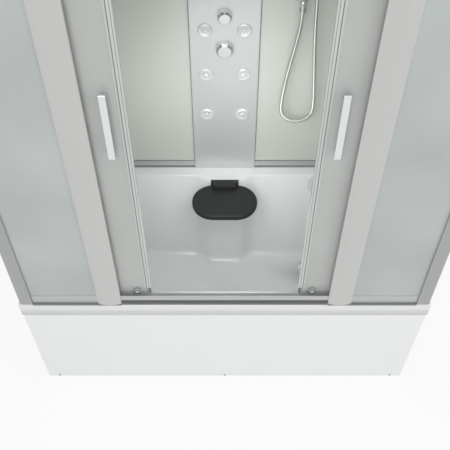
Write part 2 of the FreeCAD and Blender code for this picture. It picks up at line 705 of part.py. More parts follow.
# Skirts: the front one tapers, and both side ones end higher.
def make_skirts():
    sheet_front = padded("apron_front", "XZ", [
        ("-skirt_x + apron_taper", "apron_lift"), ("skirt_x - apron_taper", "apron_lift"),
        ("skirt_x", "skirt_top"), ("-skirt_x", "skirt_top")], "skirt_sheet", middle=False)
    seat_at(sheet_front, "0", "apron_back", "0")
    holes = [rod("y", "screw_shank + seal_gap", ("apron_face - overrun", "apron_back + overrun"),
                 (x, "screw_level")) for x in ("-screw_reach", "0", "screw_reach")]
    node("apron_front", cut(sheet_front, *holes))
    pair("side_panel_SIDE", box(("-skirt_x", "-skirt_x + skirt_sheet"),
                                ("front + side_skirt_setback", "back - side_skirt_setback"),
                                ("side_skirt_lift", "skirt_top")))
    screws = []
    for x in ("-screw_reach", "0", "screw_reach"):
        screws.append(turned("apron_screw", [
            ("0", "-screw_length"), ("screw_shank", "-screw_length"), ("screw_shank", "0"),
            ("screw_head", "0"), ("screw_head - screw_shank / 2", "screw_shank"), ("0", "screw_shank")],
            x, "apron_face", "screw_level", "front"))
    node("apron_screws", group(*screws))


# Base frame: square tubes, each its own solid, with feet under them.
def square_tube(axis, span, across):
    """A hollow square tube along an axis, given by its span and its centre line."""
    half, bore = "tube_size / 2", "tube_size / 2 - tube_wall"
    shells = []
    for size, extra in ((half, "0"), (bore, "overrun")):
        along = (f"{span[0]} - {extra}", f"{span[1]} + {extra}")
        sides = [(f"{c} - ({size})", f"{c} + ({size})") for c in across]
        order = {"x": (along, sides[0], sides[1]), "y": (sides[0], along, sides[1]),
                 "z": (sides[0], sides[1], along)}
        shells.append(box(*order[axis]))
    return cut(*shells)


def make_base_frame():
    middle = "frame_level + tube_size / 2"
    inner = "frame_x - tube_size / 2"
    tubes = []
    for sign in ("-", ""):
        tubes.append(square_tube("y", ("-frame_y - tube_size / 2", "frame_y + tube_size / 2"),
                                 (f"{sign}frame_x", middle)))
        for end in ("-", ""):
            tubes.append(square_tube("z", ("tube_top", "rim_under"), (f"{sign}frame_x", f"{end}frame_y")))
        for reach in ("bearer_front", "bearer_middle", "bearer_back"):
            tubes.append(square_tube("z", ("tube_top", "tray_under"),
                                     (f"{sign}bearer_reach", f"front + {reach}")))
    for reach in ("bearer_front", "bearer_middle", "bearer_back"):
        tubes.append(square_tube("x", (f"-({inner})", inner), (f"front + {reach}", middle)))
    for x in ("-screw_reach", "0", "screw_reach"):
        sides = (f"{x} - bracket_width / 2", f"{x} + bracket_width / 2")
        flat = box(sides, ("apron_back", "front + bearer_front + tube_size / 2"),
                   ("frame_level - bracket_sheet", "frame_level"))
        drop = box(sides, ("apron_back", "apron_back + bracket_sheet"), ("apron_lift", "frame_level"))
        hole = rod("y", "screw_shank + seal_gap", ("apron_back - overrun", "apron_back + overrun * 2"),
                   (x, "screw_level"))
        tubes.append(cut(fuse(flat, drop), hole))
    node("base_frame", group(*tubes))


def make_feet():
    places = [("-frame_x", "-frame_y"), ("frame_x", "-frame_y"), ("-frame_x", "frame_y"),
              ("frame_x", "frame_y"), ("-bearer_reach", "front + bearer_front"),
              ("bearer_reach", "front + bearer_front"), ("-bearer_reach", "front + bearer_back"),
              ("bearer_reach", "front + bearer_back")]
    feet = []
    for x, y in places:
        feet.append(turned("foot", [
            ("0", "0"), ("foot_radius", "0"), ("foot_radius", "foot_height / 2"),
            ("foot_radius / 2", "foot_height"), ("stud_radius", "foot_height"),
            ("stud_radius", "frame_level - nut_height"), ("nut_radius", "frame_level - nut_height"),
            ("nut_radius", "frame_level"), ("0", "frame_level")], x, y, "0"))
    node("levelling_feet", group(*feet))


# Waste: a flange in the floor, a cover that lifts, a trap, and an overflow whose knob lifts the cover.
def make_waste():
    flange = turned("waste_flange", [
        ("waste_throat", "-plug_drop - acrylic"), ("waste_radius - seal_gap", "-plug_drop - acrylic"),
        ("waste_radius - seal_gap", "0"), ("waste_radius + waste_lip", "0"),
        ("waste_radius + waste_lip", "waste_rim / 2"), ("waste_radius", "waste_rim"),
        ("waste_throat", "waste_rim")], "waste_x", "waste_y", "floor_level")
    boss_span = ("tray_under - plug_drop", "tray_under - plug_drop / 2")
    boss = rod("z", "spider_boss", boss_span, ("waste_x", "waste_y"))
    half_arm = "spider_arm / 2"
    arm_x = box(("waste_x - waste_throat - trap_wall / 2", "waste_x + waste_throat + trap_wall / 2"),
                (f"waste_y - {half_arm}", f"waste_y + {half_arm}"), boss_span)
    arm_y = box((f"waste_x - {half_arm}", f"waste_x + {half_arm}"),
                ("waste_y - waste_throat - trap_wall / 2", "waste_y + waste_throat + trap_wall / 2"), boss_span)
    guide = rod("z", "plug_stem + running_gap", ("tray_under - plug_drop * 2", "floor_level"),
                ("waste_x", "waste_y"))
    node("waste_flange", cut(fuse(flange, boss, arm_x, arm_y), guide))
    node("waste_plug", turned("waste_plug", [
        ("0", "-plug_drop"), ("plug_stem", "-plug_drop"), ("plug_stem", "0"), ("plug_radius", "0"),
        ("plug_radius", "plug_height / 3"), ("plug_radius * 3 / 4", "plug_height"), ("0", "plug_height")],
        "waste_x", "waste_y", "floor_level + waste_rim + seal_gap"))

    bowl = rod("z", "trap_radius", ("trap_top - trap_height", "trap_top"), ("waste_x", "waste_y"))
    bowl_inside = rod("z", "waste_throat", ("trap_top - trap_height + trap_wall", "trap_top + overrun"),
                      ("waste_x", "waste_y"))
    bowl_low = "trap_top - trap_height"
    drain = rod("z", "outlet_radius", ("outlet_lift", f"{bowl_low} + trap_wall / 2"), ("waste_x", "waste_y"))
    drain_inside = rod("z", "outlet_radius - trap_wall", ("outlet_lift - overrun", f"{bowl_low} + overrun"),
                       ("waste_x", "waste_y"))
    run_end = "waste_y + trap_radius * 3 / 4"
    run = rod("y", "overflow_pipe", (run_end, "overflow_pipe_y"), ("waste_x", "overflow_run"))
    run_inside = rod("y", "overflow_pipe - trap_wall", (run_end, "overflow_pipe_y"),
                     ("waste_x", "overflow_run"))
    riser = rod("z", "overflow_pipe + trap_wall / 2",
                ("overflow_run - overflow_pipe - trap_wall", "overflow_level"), ("waste_x", "overflow_pipe_y"))
    riser_inside = rod("z", "overflow_pipe - trap_wall / 2",
                       ("overflow_run - overflow_pipe", "overflow_level - trap_wall"),
                       ("waste_x", "overflow_pipe_y"))
    neck = doc.addObject("Part::Cylinder", "OverflowNeck")
    bind(neck, Radius="overflow_throat", Height="overflow_depth + acrylic")
    neck.Placement = on_wall("-overflow_depth - acrylic")
    collar = doc.addObject("Part::Cylinder", "OverflowCollar")
    bind(collar, Radius="overflow_flange", Height="acrylic")
    collar.Placement = on_wall("-acrylic * (2 + wall_lean) - seal_gap")
    bush = doc.addObject("Part::Cylinder", "OverflowBush")
    bind(bush, Radius="overflow_stem + running_gap", Height="overflow_depth * 3")
    bush.Placement = on_wall("-overflow_thick * 2")
    solid = fuse(bowl, drain, run, riser, neck, collar)
    node("waste_trap", cut(solid, fuse(bowl_inside, drain_inside, run_inside, riser_inside), bush))

    face = doc.addObject("Sketcher::SketchObject", "KnobOutline")
    half = "overflow_size / 2"
    rounded_outline(face, (f"-{half}", half), (f"-{half}", half), "overflow_round")
    slab = doc.addObject("Part::Extrusion", "KnobSlab")
    slab.Base = face
    slab.Dir = Vector(0, 0, 1)
    slab.Solid = True
    bind(slab, LengthFwd="overflow_thick")
    slab = rounded(slab, "knob_flute", lambda e: e.BoundBox.ZMin > mm("overflow_thick") - NEAR)
    stem = doc.addObject("Part::Cylinder", "KnobStem")
    bind(stem, Radius="overflow_stem", Height="overflow_thick * 2")
    seat_at(stem, "0", "0", "-overflow_thick * 3 / 2")
    knob = fuse(slab, stem)
    doc.recompute()
    knob.Placement = on_wall("seal_gap * 2")
    node("overflow_knob", knob)


# Corner posts: square aluminium tubes, slotted where a pane enters.
def corner_post(ys, slots):
    """A hollow post on the left between two depths, with slots cut by blocks."""
    outer = box(("-post_outer", "-post_inner"), ys, ("rim_level", "frame_top"))
    front_post = ys[0] == "post_face"
    side = mm(ys[0]) if front_post else mm(ys[1])

    def outer_corner(edge):
        limits = edge.BoundBox
        return (runs_along(edge, Vector(0, 0, 1)) and limits.XMax < -mm("post_inner") - NEAR
                and abs(limits.YMin - side) < NEAR)
    outer = rounded(outer, "post_round", outer_corner)
    bore = box(("-post_outer + slot_depth + post_wall", "-post_inner - slot_depth - post_wall"),
               (f"{ys[0]} + slot_depth + post_wall", f"{ys[1]} - slot_depth - post_wall"),
               ("rim_level - overrun", "frame_top + overrun"))
    return cut(outer, bore, *slots)


def make_posts():
    full = ("rim_level - overrun", "frame_top + overrun")
    into_post = ("-slot_end - seal_gap", "-post_inner + overrun")
    side_slot = ("-side_outer - seal_gap", "-side_inner + seal_gap")
    front_slots = [box(into_post, ("slot_front", "slot_back"), full),
                   box(side_slot, ("post_rear - slot_depth - seal_gap", "post_rear + overrun"), full)]
    pair("corner_post_front_SIDE", corner_post(("post_face", "post_rear"), front_slots))
    back_slots = [box(into_post, ("panel_face - seal_gap", "panel_back + seal_gap"), full),
                  box(side_slot, ("back_post_face - overrun", "back_post_face + slot_depth + seal_gap"), full)]
    pair("corner_post_back_SIDE", corner_post(("back_post_face", "back_post_rear"), back_slots))


def make_mullions():
    """A wide profile with a bowed face, slotted for the fixed pane."""
    middle, half = "(mullion_inner + mullion_width / 2)", "mullion_width / 2"
    body, sketch = new_body("mullion", "XY")
    left, right = -mm("mullion_outer"), -mm("mullion_inner")
    back, edge, crest = mm("mullion_back"), mm("mullion_front"), mm("front")
    sketch.addGeometry(Part.LineSegment(Vector(left, edge, 0), Vector(left, back, 0)), False)
    sketch.addGeometry(Part.LineSegment(Vector(left, back, 0), Vector(right, back, 0)), False)
    sketch.addGeometry(Part.LineSegment(Vector(right, back, 0), Vector(right, edge, 0)), False)
    crown = Part.Arc(Vector(left, edge, 0), Vector((left + right) / 2, crest, 0), Vector(right, edge, 0))
    sketch.addGeometry(crown, False)
    first, last = (1, 2) if abs(sketch.Geometry[3].StartPoint.x - left) < NEAR else (2, 1)
    sketch.addConstraint(Sketcher.Constraint("Coincident", 0, 2, 1, 1))
    sketch.addConstraint(Sketcher.Constraint("Coincident", 1, 2, 2, 1))
    sketch.addConstraint(Sketcher.Constraint("Coincident", 2, 2, 3, last))
    sketch.addConstraint(Sketcher.Constraint("Coincident", 0, 1, 3, first))
    rise = "(mullion_front - front)"
    bow = f"({half}) ^ 2 / (2 * {rise}) + {rise} / 2"
    sizes = [("DistanceX", (0, 1), left, "-mullion_outer"), ("DistanceY", (0, 1), edge, "mullion_front"),
             ("DistanceX", (1, 1), left, "-mullion_outer"), ("DistanceY", (1, 1), back, "mullion_back"),
             ("DistanceX", (2, 1), right, "-mullion_inner"), ("DistanceY", (2, 1), back, "mullion_back"),
             ("DistanceX", (2, 2), right, "-mullion_inner"), ("DistanceY", (2, 2), edge, "mullion_front"),
             ("Radius", (3,), mm(bow), bow)]
    for i, (kind, where, value, text) in enumerate(sizes):
        number = sketch.addConstraint(Sketcher.Constraint(kind, *where, value))
        sketch.renameConstraint(number, f"size{i}")
        sketch.setExpression(f"Constraints.size{i}", named(text))
    pad = body.newObject("PartDesign::Pad", "mullion_pad")
    pad.Profile = sketch
    bind(pad, Length="header_under - rim_level")
    seat_at(body, "0", "0", "rim_level")
    slot = box(("-mullion_outer - overrun", "-mullion_outer + slot_depth + seal_gap"),
               ("slot_front", "slot_back"), ("rim_level - overrun", "header_under + overrun"))
    pair("mullion_SIDE", cut(body, slot))


# Rails: the sill and the header carry the door wheels.
def make_front_rails():
    sill = padded("sill_front", "YZ", [
        ("sill_face", "rim_level + sill_recess_height"), ("sill_face", "sill_top"),
        ("upstand_back", "sill_top"), ("upstand_back", "rim_level + sill_base"),
        ("sill_rear - sill_lip", "rim_level + sill_base"),
        ("sill_rear - sill_lip", "rim_level + sill_lip_height"),
        ("sill_rear", "rim_level + sill_lip_height"), ("sill_rear", "rim_level"),
        ("sill_face + sill_recess", "rim_level"),
        ("sill_face + sill_recess", "rim_level + sill_recess_height")], "post_inner * 2")
    recess = (("sill_face", "sill_face + sill_recess"), ("rim_level", "rim_level + sill_recess_height"))
    beside = (("-post_inner", "-mullion_inner"), ("mullion_inner", "post_inner"))
    foot = [box(sides, *recess) for sides in beside]
    sill = fuse(sill, *foot)
    tools = []
    for low, high in (("-mullion_outer", "-mullion_inner"), ("mullion_inner", "mullion_outer")):
        tools.append(box((low, high), ("sill_face - overrun", "mullion_back"),
                         ("rim_level - overrun", "sill_top + overrun")))
    for low, high in (("-post_inner - overrun", "-mullion_outer"), ("mullion_outer", "post_inner + overrun")):
        tools.append(box((low, high), ("slot_front", "slot_back"),
                         ("sill_top - glazing_bite", "sill_top + overrun")))
    node("sill_front", cut(sill, *tools))
    header = padded("header_front", "YZ", [
        ("post_face", "header_under"), ("post_face", "frame_top"), ("sill_rear", "frame_top"),
        ("sill_rear", "frame_top - header_lip"), ("sill_rear - header_wall", "frame_top - header_lip"),
        ("sill_rear - header_wall", "frame_top - header_wall"),
        ("post_face + header_wall", "frame_top - header_wall"), ("post_face + header_wall", "track_top"),
        ("upstand_back", "track_top"), ("upstand_back", "header_under")], "post_inner * 2")
    tools = []
    for low, high in (("-post_inner - overrun", "-mullion_outer + slot_depth + seal_gap"),
                      ("mullion_outer - slot_depth - seal_gap", "post_inner + overrun")):
        tools.append(box((low, high), ("slot_front", "slot_back"),
                         ("header_under - overrun", "header_under + glazing_bite")))
    node("header_front", cut(header, *tools))


def make_other_rails():
    rails = []
    slot = ("-side_outer - seal_gap", "-side_inner + seal_gap")
    depth = ("post_rear", "back_post_face")
    low = box(("-post_outer", "-side_rail_inner"), depth, ("rim_level", "rail_top"))
    low = cut(low, box(slot, depth, ("rail_top - glazing_bite", "rail_top + overrun")))
    high = box(("-post_outer", "-side_rail_inner"), depth, ("top_rail_low", "frame_top"))
    high = cut(high, box(slot, depth, ("top_rail_low - overrun", "top_rail_low + glazing_bite")))
    for rail in (low, high):
        rails += [rail, mirrored(rail)]
    node("side_rails", group(*rails))

    rails = []
    width = ("-post_inner", "-column_half")
    behind = "rail_face + rail_depth"
    slot = ("panel_face - seal_gap", "panel_back + seal_gap")
    low = box(width, ("rail_face", behind), ("rim_level", "rail_top"))
    low = cut(low, box(width, ("rail_face - overrun", "rail_face + rail_reach / 2"),
                       ("rim_level - overrun", "rim_level + rail_recess")),
              box(width, slot, ("rail_top - glazing_bite", "rail_top + overrun")))
    high = box(width, ("rail_face", behind), ("top_rail_low", "frame_top"))
    high = cut(high, box(width, slot, ("top_rail_low - overrun", "top_rail_low + glazing_bite")))
    for rail in (low, high):
        rails += [rail, mirrored(rail)]
    node("back_rails", group(*rails))


def make_panes():
    pair("front_glass_SIDE", box(("-slot_end", "-mullion_outer + slot_depth"), ("pane_front", "pane_back"),
                                 ("sill_top - glazing_bite", "header_under + glazing_bite")))
    pair("side_glass_SIDE", box(("-side_outer", "-side_inner"),
                                ("post_rear - slot_depth", "back_post_face + slot_depth"),
                                ("rail_top - glazing_bite", "top_rail_low + glazing_bite")))
    panel = box(("-slot_end", "-column_half - seal_gap"), ("panel_face", "panel_back"),
                ("rail_top - glazing_bite", "top_rail_low + glazing_bite"))
    node("back_panel_left", panel)
    feed = rod("y", "pipe_radius + seal_gap * 3", ("panel_face - overrun", "panel_back + overrun"),
               ("outlet_x", "outlet_level"))
    node("back_panel_right", cut(mirrored(panel), feed))


def make_gaskets():
    bead, height = "mullion_behind", ("sill_top", "header_under")
    inside = ("pane_back", f"pane_back + {bead}")
    strips = [
        box(("-post_inner", "-mullion_outer"), inside, ("sill_top", f"sill_top + {bead}")),
        box(("-post_inner", f"-post_inner + {bead}"), inside, (f"sill_top + {bead}", "header_under")),
        box(("-side_inner", f"-side_inner + {bead}"), ("post_rear", "back_post_face"),
            ("rail_top", f"rail_top + {bead}")),
        box((f"-column_half - {bead}", "-column_half"), (f"panel_face - {bead}", "panel_face"),
            ("rail_top", "top_rail_low")),
        box(("-post_inner", f"-post_inner + {bead}"), (f"panel_face - {bead}", "panel_face"),
            ("rail_top", "top_rail_low")),
    ]
    node("glazing_gaskets", group(*strips, *[mirrored(strip) for strip in strips]))


# Doors: a pane with a strip, a handle and four wheels on bushes.
def make_doors():
    wheels = {"inner": "-door_edge - wheel_from_edge", "outer": "-door_trail + wheel_from_edge"}
    levels = {"top": ("upper_axle", "upper_wheel"), "bottom": ("lower_axle", "lower_wheel")}
    pane = box(("-door_trail", "-door_edge"), ("door_front", "door_back"), ("door_low", "door_high"))
    past = ("door_front - overrun", "door_back + overrun")
    for x in wheels.values():
        for axle, wheel in levels.values():
            pane = cut(pane, rod("y", "clamp_shank + running_gap", past, (x, axle)))
    posts = ("handle_low + handle_post_inset", "handle_low + handle_length - handle_post_inset")
    for z in posts:
        pane = cut(pane, rod("y", "handle_screw + handle_screw_gap", past, ("-handle_x", z)))
    pair("door_glass_SIDE", pane)

    bushes = []
    for x in wheels.values():
        for axle, wheel in levels.values():
            flange = "wheel_stand - seal_gap"
            cap = "wheel_stand + wheel_width + seal_gap"
            bushes.append(turned("bush", [
                ("0", "-door_pane - clamp_nut_height"), ("clamp_nut", "-door_pane - clamp_nut_height"),
                ("clamp_nut", "-door_pane"), ("clamp_shank", "-door_pane"), ("clamp_shank", "0"),
                ("clamp_flange", "0"), ("clamp_flange", flange), ("axle_radius", flange),
                ("axle_radius", cap), ("axle_cap", cap), ("axle_cap", f"{cap} + axle_cap_height"),
                ("0", f"{cap} + axle_cap_height")], x, "door_front", axle, "front"))
    pair("door_roller_brackets_SIDE", group(*bushes))

    for where, x in wheels.items():
        for level, (axle, wheel) in levels.items():
            bore = "axle_radius + running_gap"
            disc = turned("wheel", [
                (bore, "0"), (f"{wheel} - wheel_ease", "0"), (wheel, "wheel_ease"),
                (wheel, "wheel_width - wheel_ease"), (f"{wheel} - wheel_ease", "wheel_width"),
                (bore, "wheel_width")], x, "wheel_back", axle, "front")
            pair(f"door_wheel_SIDE_{level}_{where}", disc)

    low, high = "door_low + strip_trim", "door_high - strip_trim"
    core = box(("-door_edge", "-door_edge + strip_width"),
               ("door_front - strip_reach", "door_back + strip_behind"), (low, high))
    grips = (("door_front - strip_reach / 2", "door_front"), ("door_back", "door_back + strip_behind / 2"))
    lips = [box(("-door_edge - strip_grip", "-door_edge"), ys, (low, high)) for ys in grips]
    strip = fuse(core, *lips)
    wiper = box(("-door_trail - wiper_width", "-door_trail"), ("door_front - wiper_reach", "door_back"),
                ("sill_top + wiper_trim", "header_under - wiper_trim"))
    pair("door_seals_SIDE", group(strip, wiper))

    bar = box(("-handle_x - handle_width / 2", "-handle_x + handle_width / 2"),
              ("door_front - handle_stand - handle_thick", "door_front - handle_stand"),
              ("handle_low", "handle_low + handle_length"))
    bar = rounded(bar, "handle_round", lambda e: True)
    pieces = [bar]
    for z in posts:
        pieces.append(rod("y", "handle_post", ("door_front - handle_stand - handle_thick / 2", "door_front"),
                          ("-handle_x", z)))
        pieces.append(rod("y", "handle_screw", ("door_front", "door_back"), ("-handle_x", z)))
        pieces.append(rod("y", "handle_cap", ("door_back", "door_back + handle_cap_height"), ("-handle_x", z)))
    pair("door_handle_SIDE", fuse(*pieces))


# Column: a bent sheet that carries the jets and the mixer.
def make_column():
    body = padded("column", "XY", [
        ("-column_half", "column_face"), ("column_half", "column_face"), ("column_half", "column_rear"),
        ("column_half - column_sheet", "column_rear"), ("column_half - column_sheet", "column_inside"),
        ("-column_half + column_sheet", "column_inside"), ("-column_half + column_sheet", "column_rear"),
        ("-column_half", "column_rear")], "frame_top - rim_level", middle=False)
    seat_at(body, "0", "0", "rim_level")
    face = mm("column_face")
    body = rounded(body, "column_round", lambda e: runs_along(e, Vector(0, 0, 1))
                   and abs(e.BoundBox.YMin - face) < NEAR)
    past = ("column_face - overrun", "column_inside + overrun")
    holes = [rod("y", "spindle_boss - seal_gap", past, ("0", z))
             for z in ("mixer_knob_level", "diverter_level")]
    for row in range(JET_ROWS):
        for x in ("-jet_spread", "jet_spread"):
            holes.append(rod("y", "jet_stem + seal_gap", past, (x, f"jet_level + jet_pitch * {row}")))
    side = ("column_half - column_sheet - overrun", "column_half + overrun")
    holes.append(rod("x", "pipe_radius + seal_gap * 3", side, ("riser_y", "outlet_level")))
    node("column", cut(body, *holes))

    jets = []
    for row in range(JET_ROWS):
        for x in ("-jet_spread", "jet_spread"):
            jet = turned("jet", [
                ("0", "column_face - mixer_face"), ("jet_stem", "column_face - mixer_face"), ("jet_stem", "0"),
                ("jet_radius", "0"), ("jet_radius", "jet_thick / 2"), ("jet_dish_radius", "jet_thick"),
                ("jet_nub + jet_dish", "jet_thick - jet_dish"), ("jet_nub", "jet_thick - jet_dish"),
                ("jet_nub", "jet_thick + jet_nub_reach / 2"),
                ("jet_nub / 2", "jet_thick + jet_nub_reach"), ("0", "jet_thick + jet_nub_reach")],
                x, "column_face", f"jet_level + jet_pitch * {row}", "front")
            drilled_ring(jet, "jet", "jet_bore", "jet_bore_ring", JET_HOLES)
            jets.append(jet)
    node("massage_jets", group(*jets))


def knob(label, radius, level):
    """A fluted knob that sits on a spindle of the mixer."""
    bore = "spindle + running_gap"
    depth = "spindle_reach - knob_gap + seal_gap"
    body = turned(label, [
        (bore, "0"), (radius, "0"), (radius, "knob_height * 3 / 4"), (f"{radius} * 3 / 4", "knob_height"),
        ("0", "knob_height"), ("0", depth), (bore, depth)], "0", "column_face - knob_gap", level, "front")
    flutes = body.newObject("Sketcher::SketchObject", label + "_flutes")
    plane = [o for o in body.Origin.OriginFeatures if o.Role == "XY_Plane"][0]
    flutes.AttachmentSupport = [(plane, "")]
    flutes.MapMode = "FlatFace"
    flutes.addGeometry(Part.Circle(Vector(mm(radius), 0, 0), Vector(0, 0, 1), mm("knob_flute")), False)
    flutes.addConstraint(Sketcher.Constraint("PointOnObject", 0, 3, -1))
    for name, limits, text in (("ring", ("DistanceX", 0, 3), radius), ("flute", ("Radius", 0), "knob_flute")):
        number = flutes.addConstraint(Sketcher.Constraint(*limits, mm(text)))
        flutes.renameConstraint(number, name)
        flutes.setExpression(f"Constraints.{name}", named(text))
    pocket = body.newObject("PartDesign::Pocket", label + "_pocket")
    pocket.Profile = flutes
    pocket.Type = "ThroughAll"
    pocket.Midplane = True
    pattern = body.newObject("PartDesign::PolarPattern", label + "_pattern")
    pattern.Originals = [pocket]
    pattern.Axis = (flutes, ["N_Axis"])
    pattern.Angle = 360
    pattern.Occurrences = KNOB_FLUTES
    body.Tip = pattern
    return body


def make_mixer():
    block = box(("-mixer_half", "mixer_half"), ("mixer_face", "mixer_rear"),
                ("mixer_level", "mixer_level + mixer_height"))
    recess = box(("-mixer_half + mixer_wall", "mixer_half - mixer_wall"),
                 ("mixer_face + mixer_front", "mixer_rear + overrun"),
                 ("mixer_level + mixer_wall", "mixer_level + mixer_height - mixer_wall"))
    block = cut(block, recess)
    pieces = [block]
    for z in ("mixer_knob_level", "diverter_level"):
        pieces.append(rod("y", "spindle_boss", ("column_inside", "mixer_face"), ("0", z)))
        pieces.append(rod("y", "spindle", ("column_face - spindle_reach", "column_inside"), ("0", z)))
    for x in ("-inlet_spread", "inlet_spread"):
        pieces.append(rod("y", "inlet_boss", ("mixer_face + mixer_front / 3", "mixer_rear"),
                          (x, "mixer_knob_level")))
        pieces.append(rod("y", "inlet_radius", ("mixer_face + mixer_front / 2", "mixer_rear + inlet_reach"),
                          (x, "mixer_knob_level")))
    for x in ("-jet_spread", "jet_spread"):
        pieces.append(rod("z", "pipe_radius", ("jet_level - pipe_radius", "mixer_level"), (x, "pipe_y")))
    pieces.append(rod("z", "riser_radius", ("mixer_level + mixer_height", "frame_top + riser_rise"),
                      ("0", "riser_y")))
    pieces.append(rod("x", "pipe_radius", ("pipe_radius / 2", "outlet_x + pipe_radius * 3 / 2"),
                      ("riser_y", "outlet_level")))
    pieces.append(rod("y", "pipe_radius", ("panel_face", "riser_y - pipe_radius / 2"),
                      ("outlet_x", "outlet_level")))
    node("mixer_body", fuse(*pieces))
    node("mixer_knob", knob("mixer_knob", "mixer_knob_radius", "mixer_knob_level"))
    node("diverter_knob", knob("diverter_knob", "diverter_radius", "diverter_level"))


def make_outlet():
    rose = turned("outlet_rose", [
        ("0", "0"), ("outlet_rose", "0"), ("outlet_rose", "outlet_rose_thick / 2"),
        ("outlet_body", "outlet_rose_thick"), ("0", "outlet_rose_thick")],
        "outlet_x", "panel_face", "outlet_level", "front")
    arm = rod("y", "outlet_body", ("outlet_y", "panel_face"), ("outlet_x", "outlet_level"))
    elbow = doc.addObject("Part::Sphere", "Elbow")
    bind(elbow, Radius="outlet_body")
    seat_at(elbow, "outlet_x", "outlet_y", "outlet_level")
    drop = rod("z", "hose_radius + trap_wall", ("hose_start", "outlet_level"), ("outlet_x", "outlet_y"))
    nut = rod("z", "outlet_body", ("hose_start", "hose_start + outlet_body"), ("outlet_x", "outlet_y"))
    node("hose_outlet", fuse(rose, arm, elbow, drop, nut))


# Hand shower: bar, slider with a fork, cradle on two pins, handset and hose.
def make_slide_bar():
    bar = rod("z", "bar_radius", ("bar_low", "bar_high"), ("bar_x", "bar_y"))
    pieces = [bar]
    for z in ("bar_low + bar_foot_inset", "bar_high - bar_foot_inset"):
        pieces.append(rod("y", "bar_foot", ("bar_y", "panel_face"), ("bar_x", z)))
        pieces.append(rod("y", "bar_foot_rose", ("panel_face - bar_foot_thick", "panel_face"), ("bar_x", z)))
    node("slide_bar", fuse(*pieces))

    ring = rod("z", "slider_radius", ("pivot_level - slider_half", "pivot_level + slider_half"),
               ("bar_x", "bar_y"))
    fork_levels = ("pivot_level - fork_half_height", "pivot_level + fork_half_height")
    reach = "fork_half + fork_wall"
    block = box((f"bar_x - {reach.replace('+', '-')}", f"bar_x + {reach}"), ("pivot_y - fork_nose", "bar_y"),
                fork_levels)
    gap = box(("bar_x - fork_half", "bar_x + fork_half"),
              ("pivot_y - fork_nose - overrun", "pivot_y + fork_half + fork_clear"),
              ("pivot_level - fork_half_height - overrun", "pivot_level + fork_half_height + overrun"))
    grip = rod("x", "clamp_knob", ("bar_x + bar_radius + fork_wall", "bar_x + slider_radius + clamp_knob_reach"),
               ("bar_y", "pivot_level"))
    bore = rod("z", "bar_radius + running_gap",
               ("pivot_level - slider_half - overrun", "pivot_level + slider_half + overrun"), ("bar_x", "bar_y"))
    pins = rod("x", "pivot_pin + running_gap", ("bar_x - fork_half * 2", "bar_x + fork_half * 2"),
               ("pivot_y", "pivot_level"))
    node("shower_slider", cut(fuse(ring, cut(block, gap), grip), bore, pins))


def leaning(thing):
    """Lean a finished piece forward round the hand shower's tilt axis."""
    doc.recompute()
    pivot = Vector(mm("bar_x"), mm("pivot_y"), mm("pivot_level"))
    thing.Placement = Placement(Vector(), Rotation(Vector(1, 0, 0), mm("hand_lean")), pivot)
    return thing


def make_handset():
    at_pivot = ("bar_x", "pivot_y")
    span = ("pivot_level - cradle_drop", "pivot_level + cradle_height - cradle_drop")
    cup = rod("z", "cradle_radius", span, at_pivot)
    pins = rod("x", "pivot_pin", ("bar_x - fork_half - fork_wall", "bar_x + fork_half + fork_wall"),
               ("pivot_y", "pivot_level"))
    bore = rod("z", "grip_radius + seal_gap", (f"{span[0]} - overrun", f"{span[1]} + overrun"), at_pivot)
    node("shower_cradle", leaning(cut(fuse(cup, pins), bore)))

    shaft = turned("handset", [
        ("0", "0"), ("hose_radius + seal_gap", "0"), ("grip_radius", "cradle_height / 2"),
        ("grip_radius", "cradle_height * 2"), ("grip_radius + trap_wall", "grip_length * 2 / 3"),
        ("grip_radius", "grip_length"), ("0", "grip_length")], "bar_x", "pivot_y", "pivot_level")
    head = turned("spray_head", [
        ("0", "-spray_drop"), ("grip_radius", "-spray_drop"), ("spray_radius", "0"),
        ("spray_radius", "spray_thick / 2"), ("spray_radius - trap_wall", "spray_thick"), ("0", "spray_thick")],
        "bar_x", "pivot_y", "pivot_level + grip_length + spray_radius / 2", "front")
    node("handset", leaning(fuse(shaft, head)))


def hose_path():
    """The route as straight runs joined by tangent arcs, with its tightest radius printed."""
    points = [Vector(*p) for p in HOSE_ROUTE]
    edges = []
    start = points[0]
    radii = []
    for before, corner, after in zip(points, points[1:], points[2:]):
        arrive = (corner - before).normalize()
        leave = (after - corner).normalize()
        turn = arrive.getAngle(leave)
        reach = ARC_SHARE * min((corner - before).Length, (after - corner).Length)
        radius = reach / math.tan(turn / 2)
        radii.append(radius)
        first = corner - arrive * reach
        last = corner + leave * reach
        inward = (leave - arrive).normalize()
        middle = corner + inward * (math.hypot(radius, reach) - radius)
        edges.append(Part.LineSegment(start, first).toShape())
        edges.append(Part.Arc(first, middle, last).toShape())
        start = last
    edges.append(Part.LineSegment(start, points[-1]).toShape())
    print("hose radii", [round(r) for r in radii])
    return edges


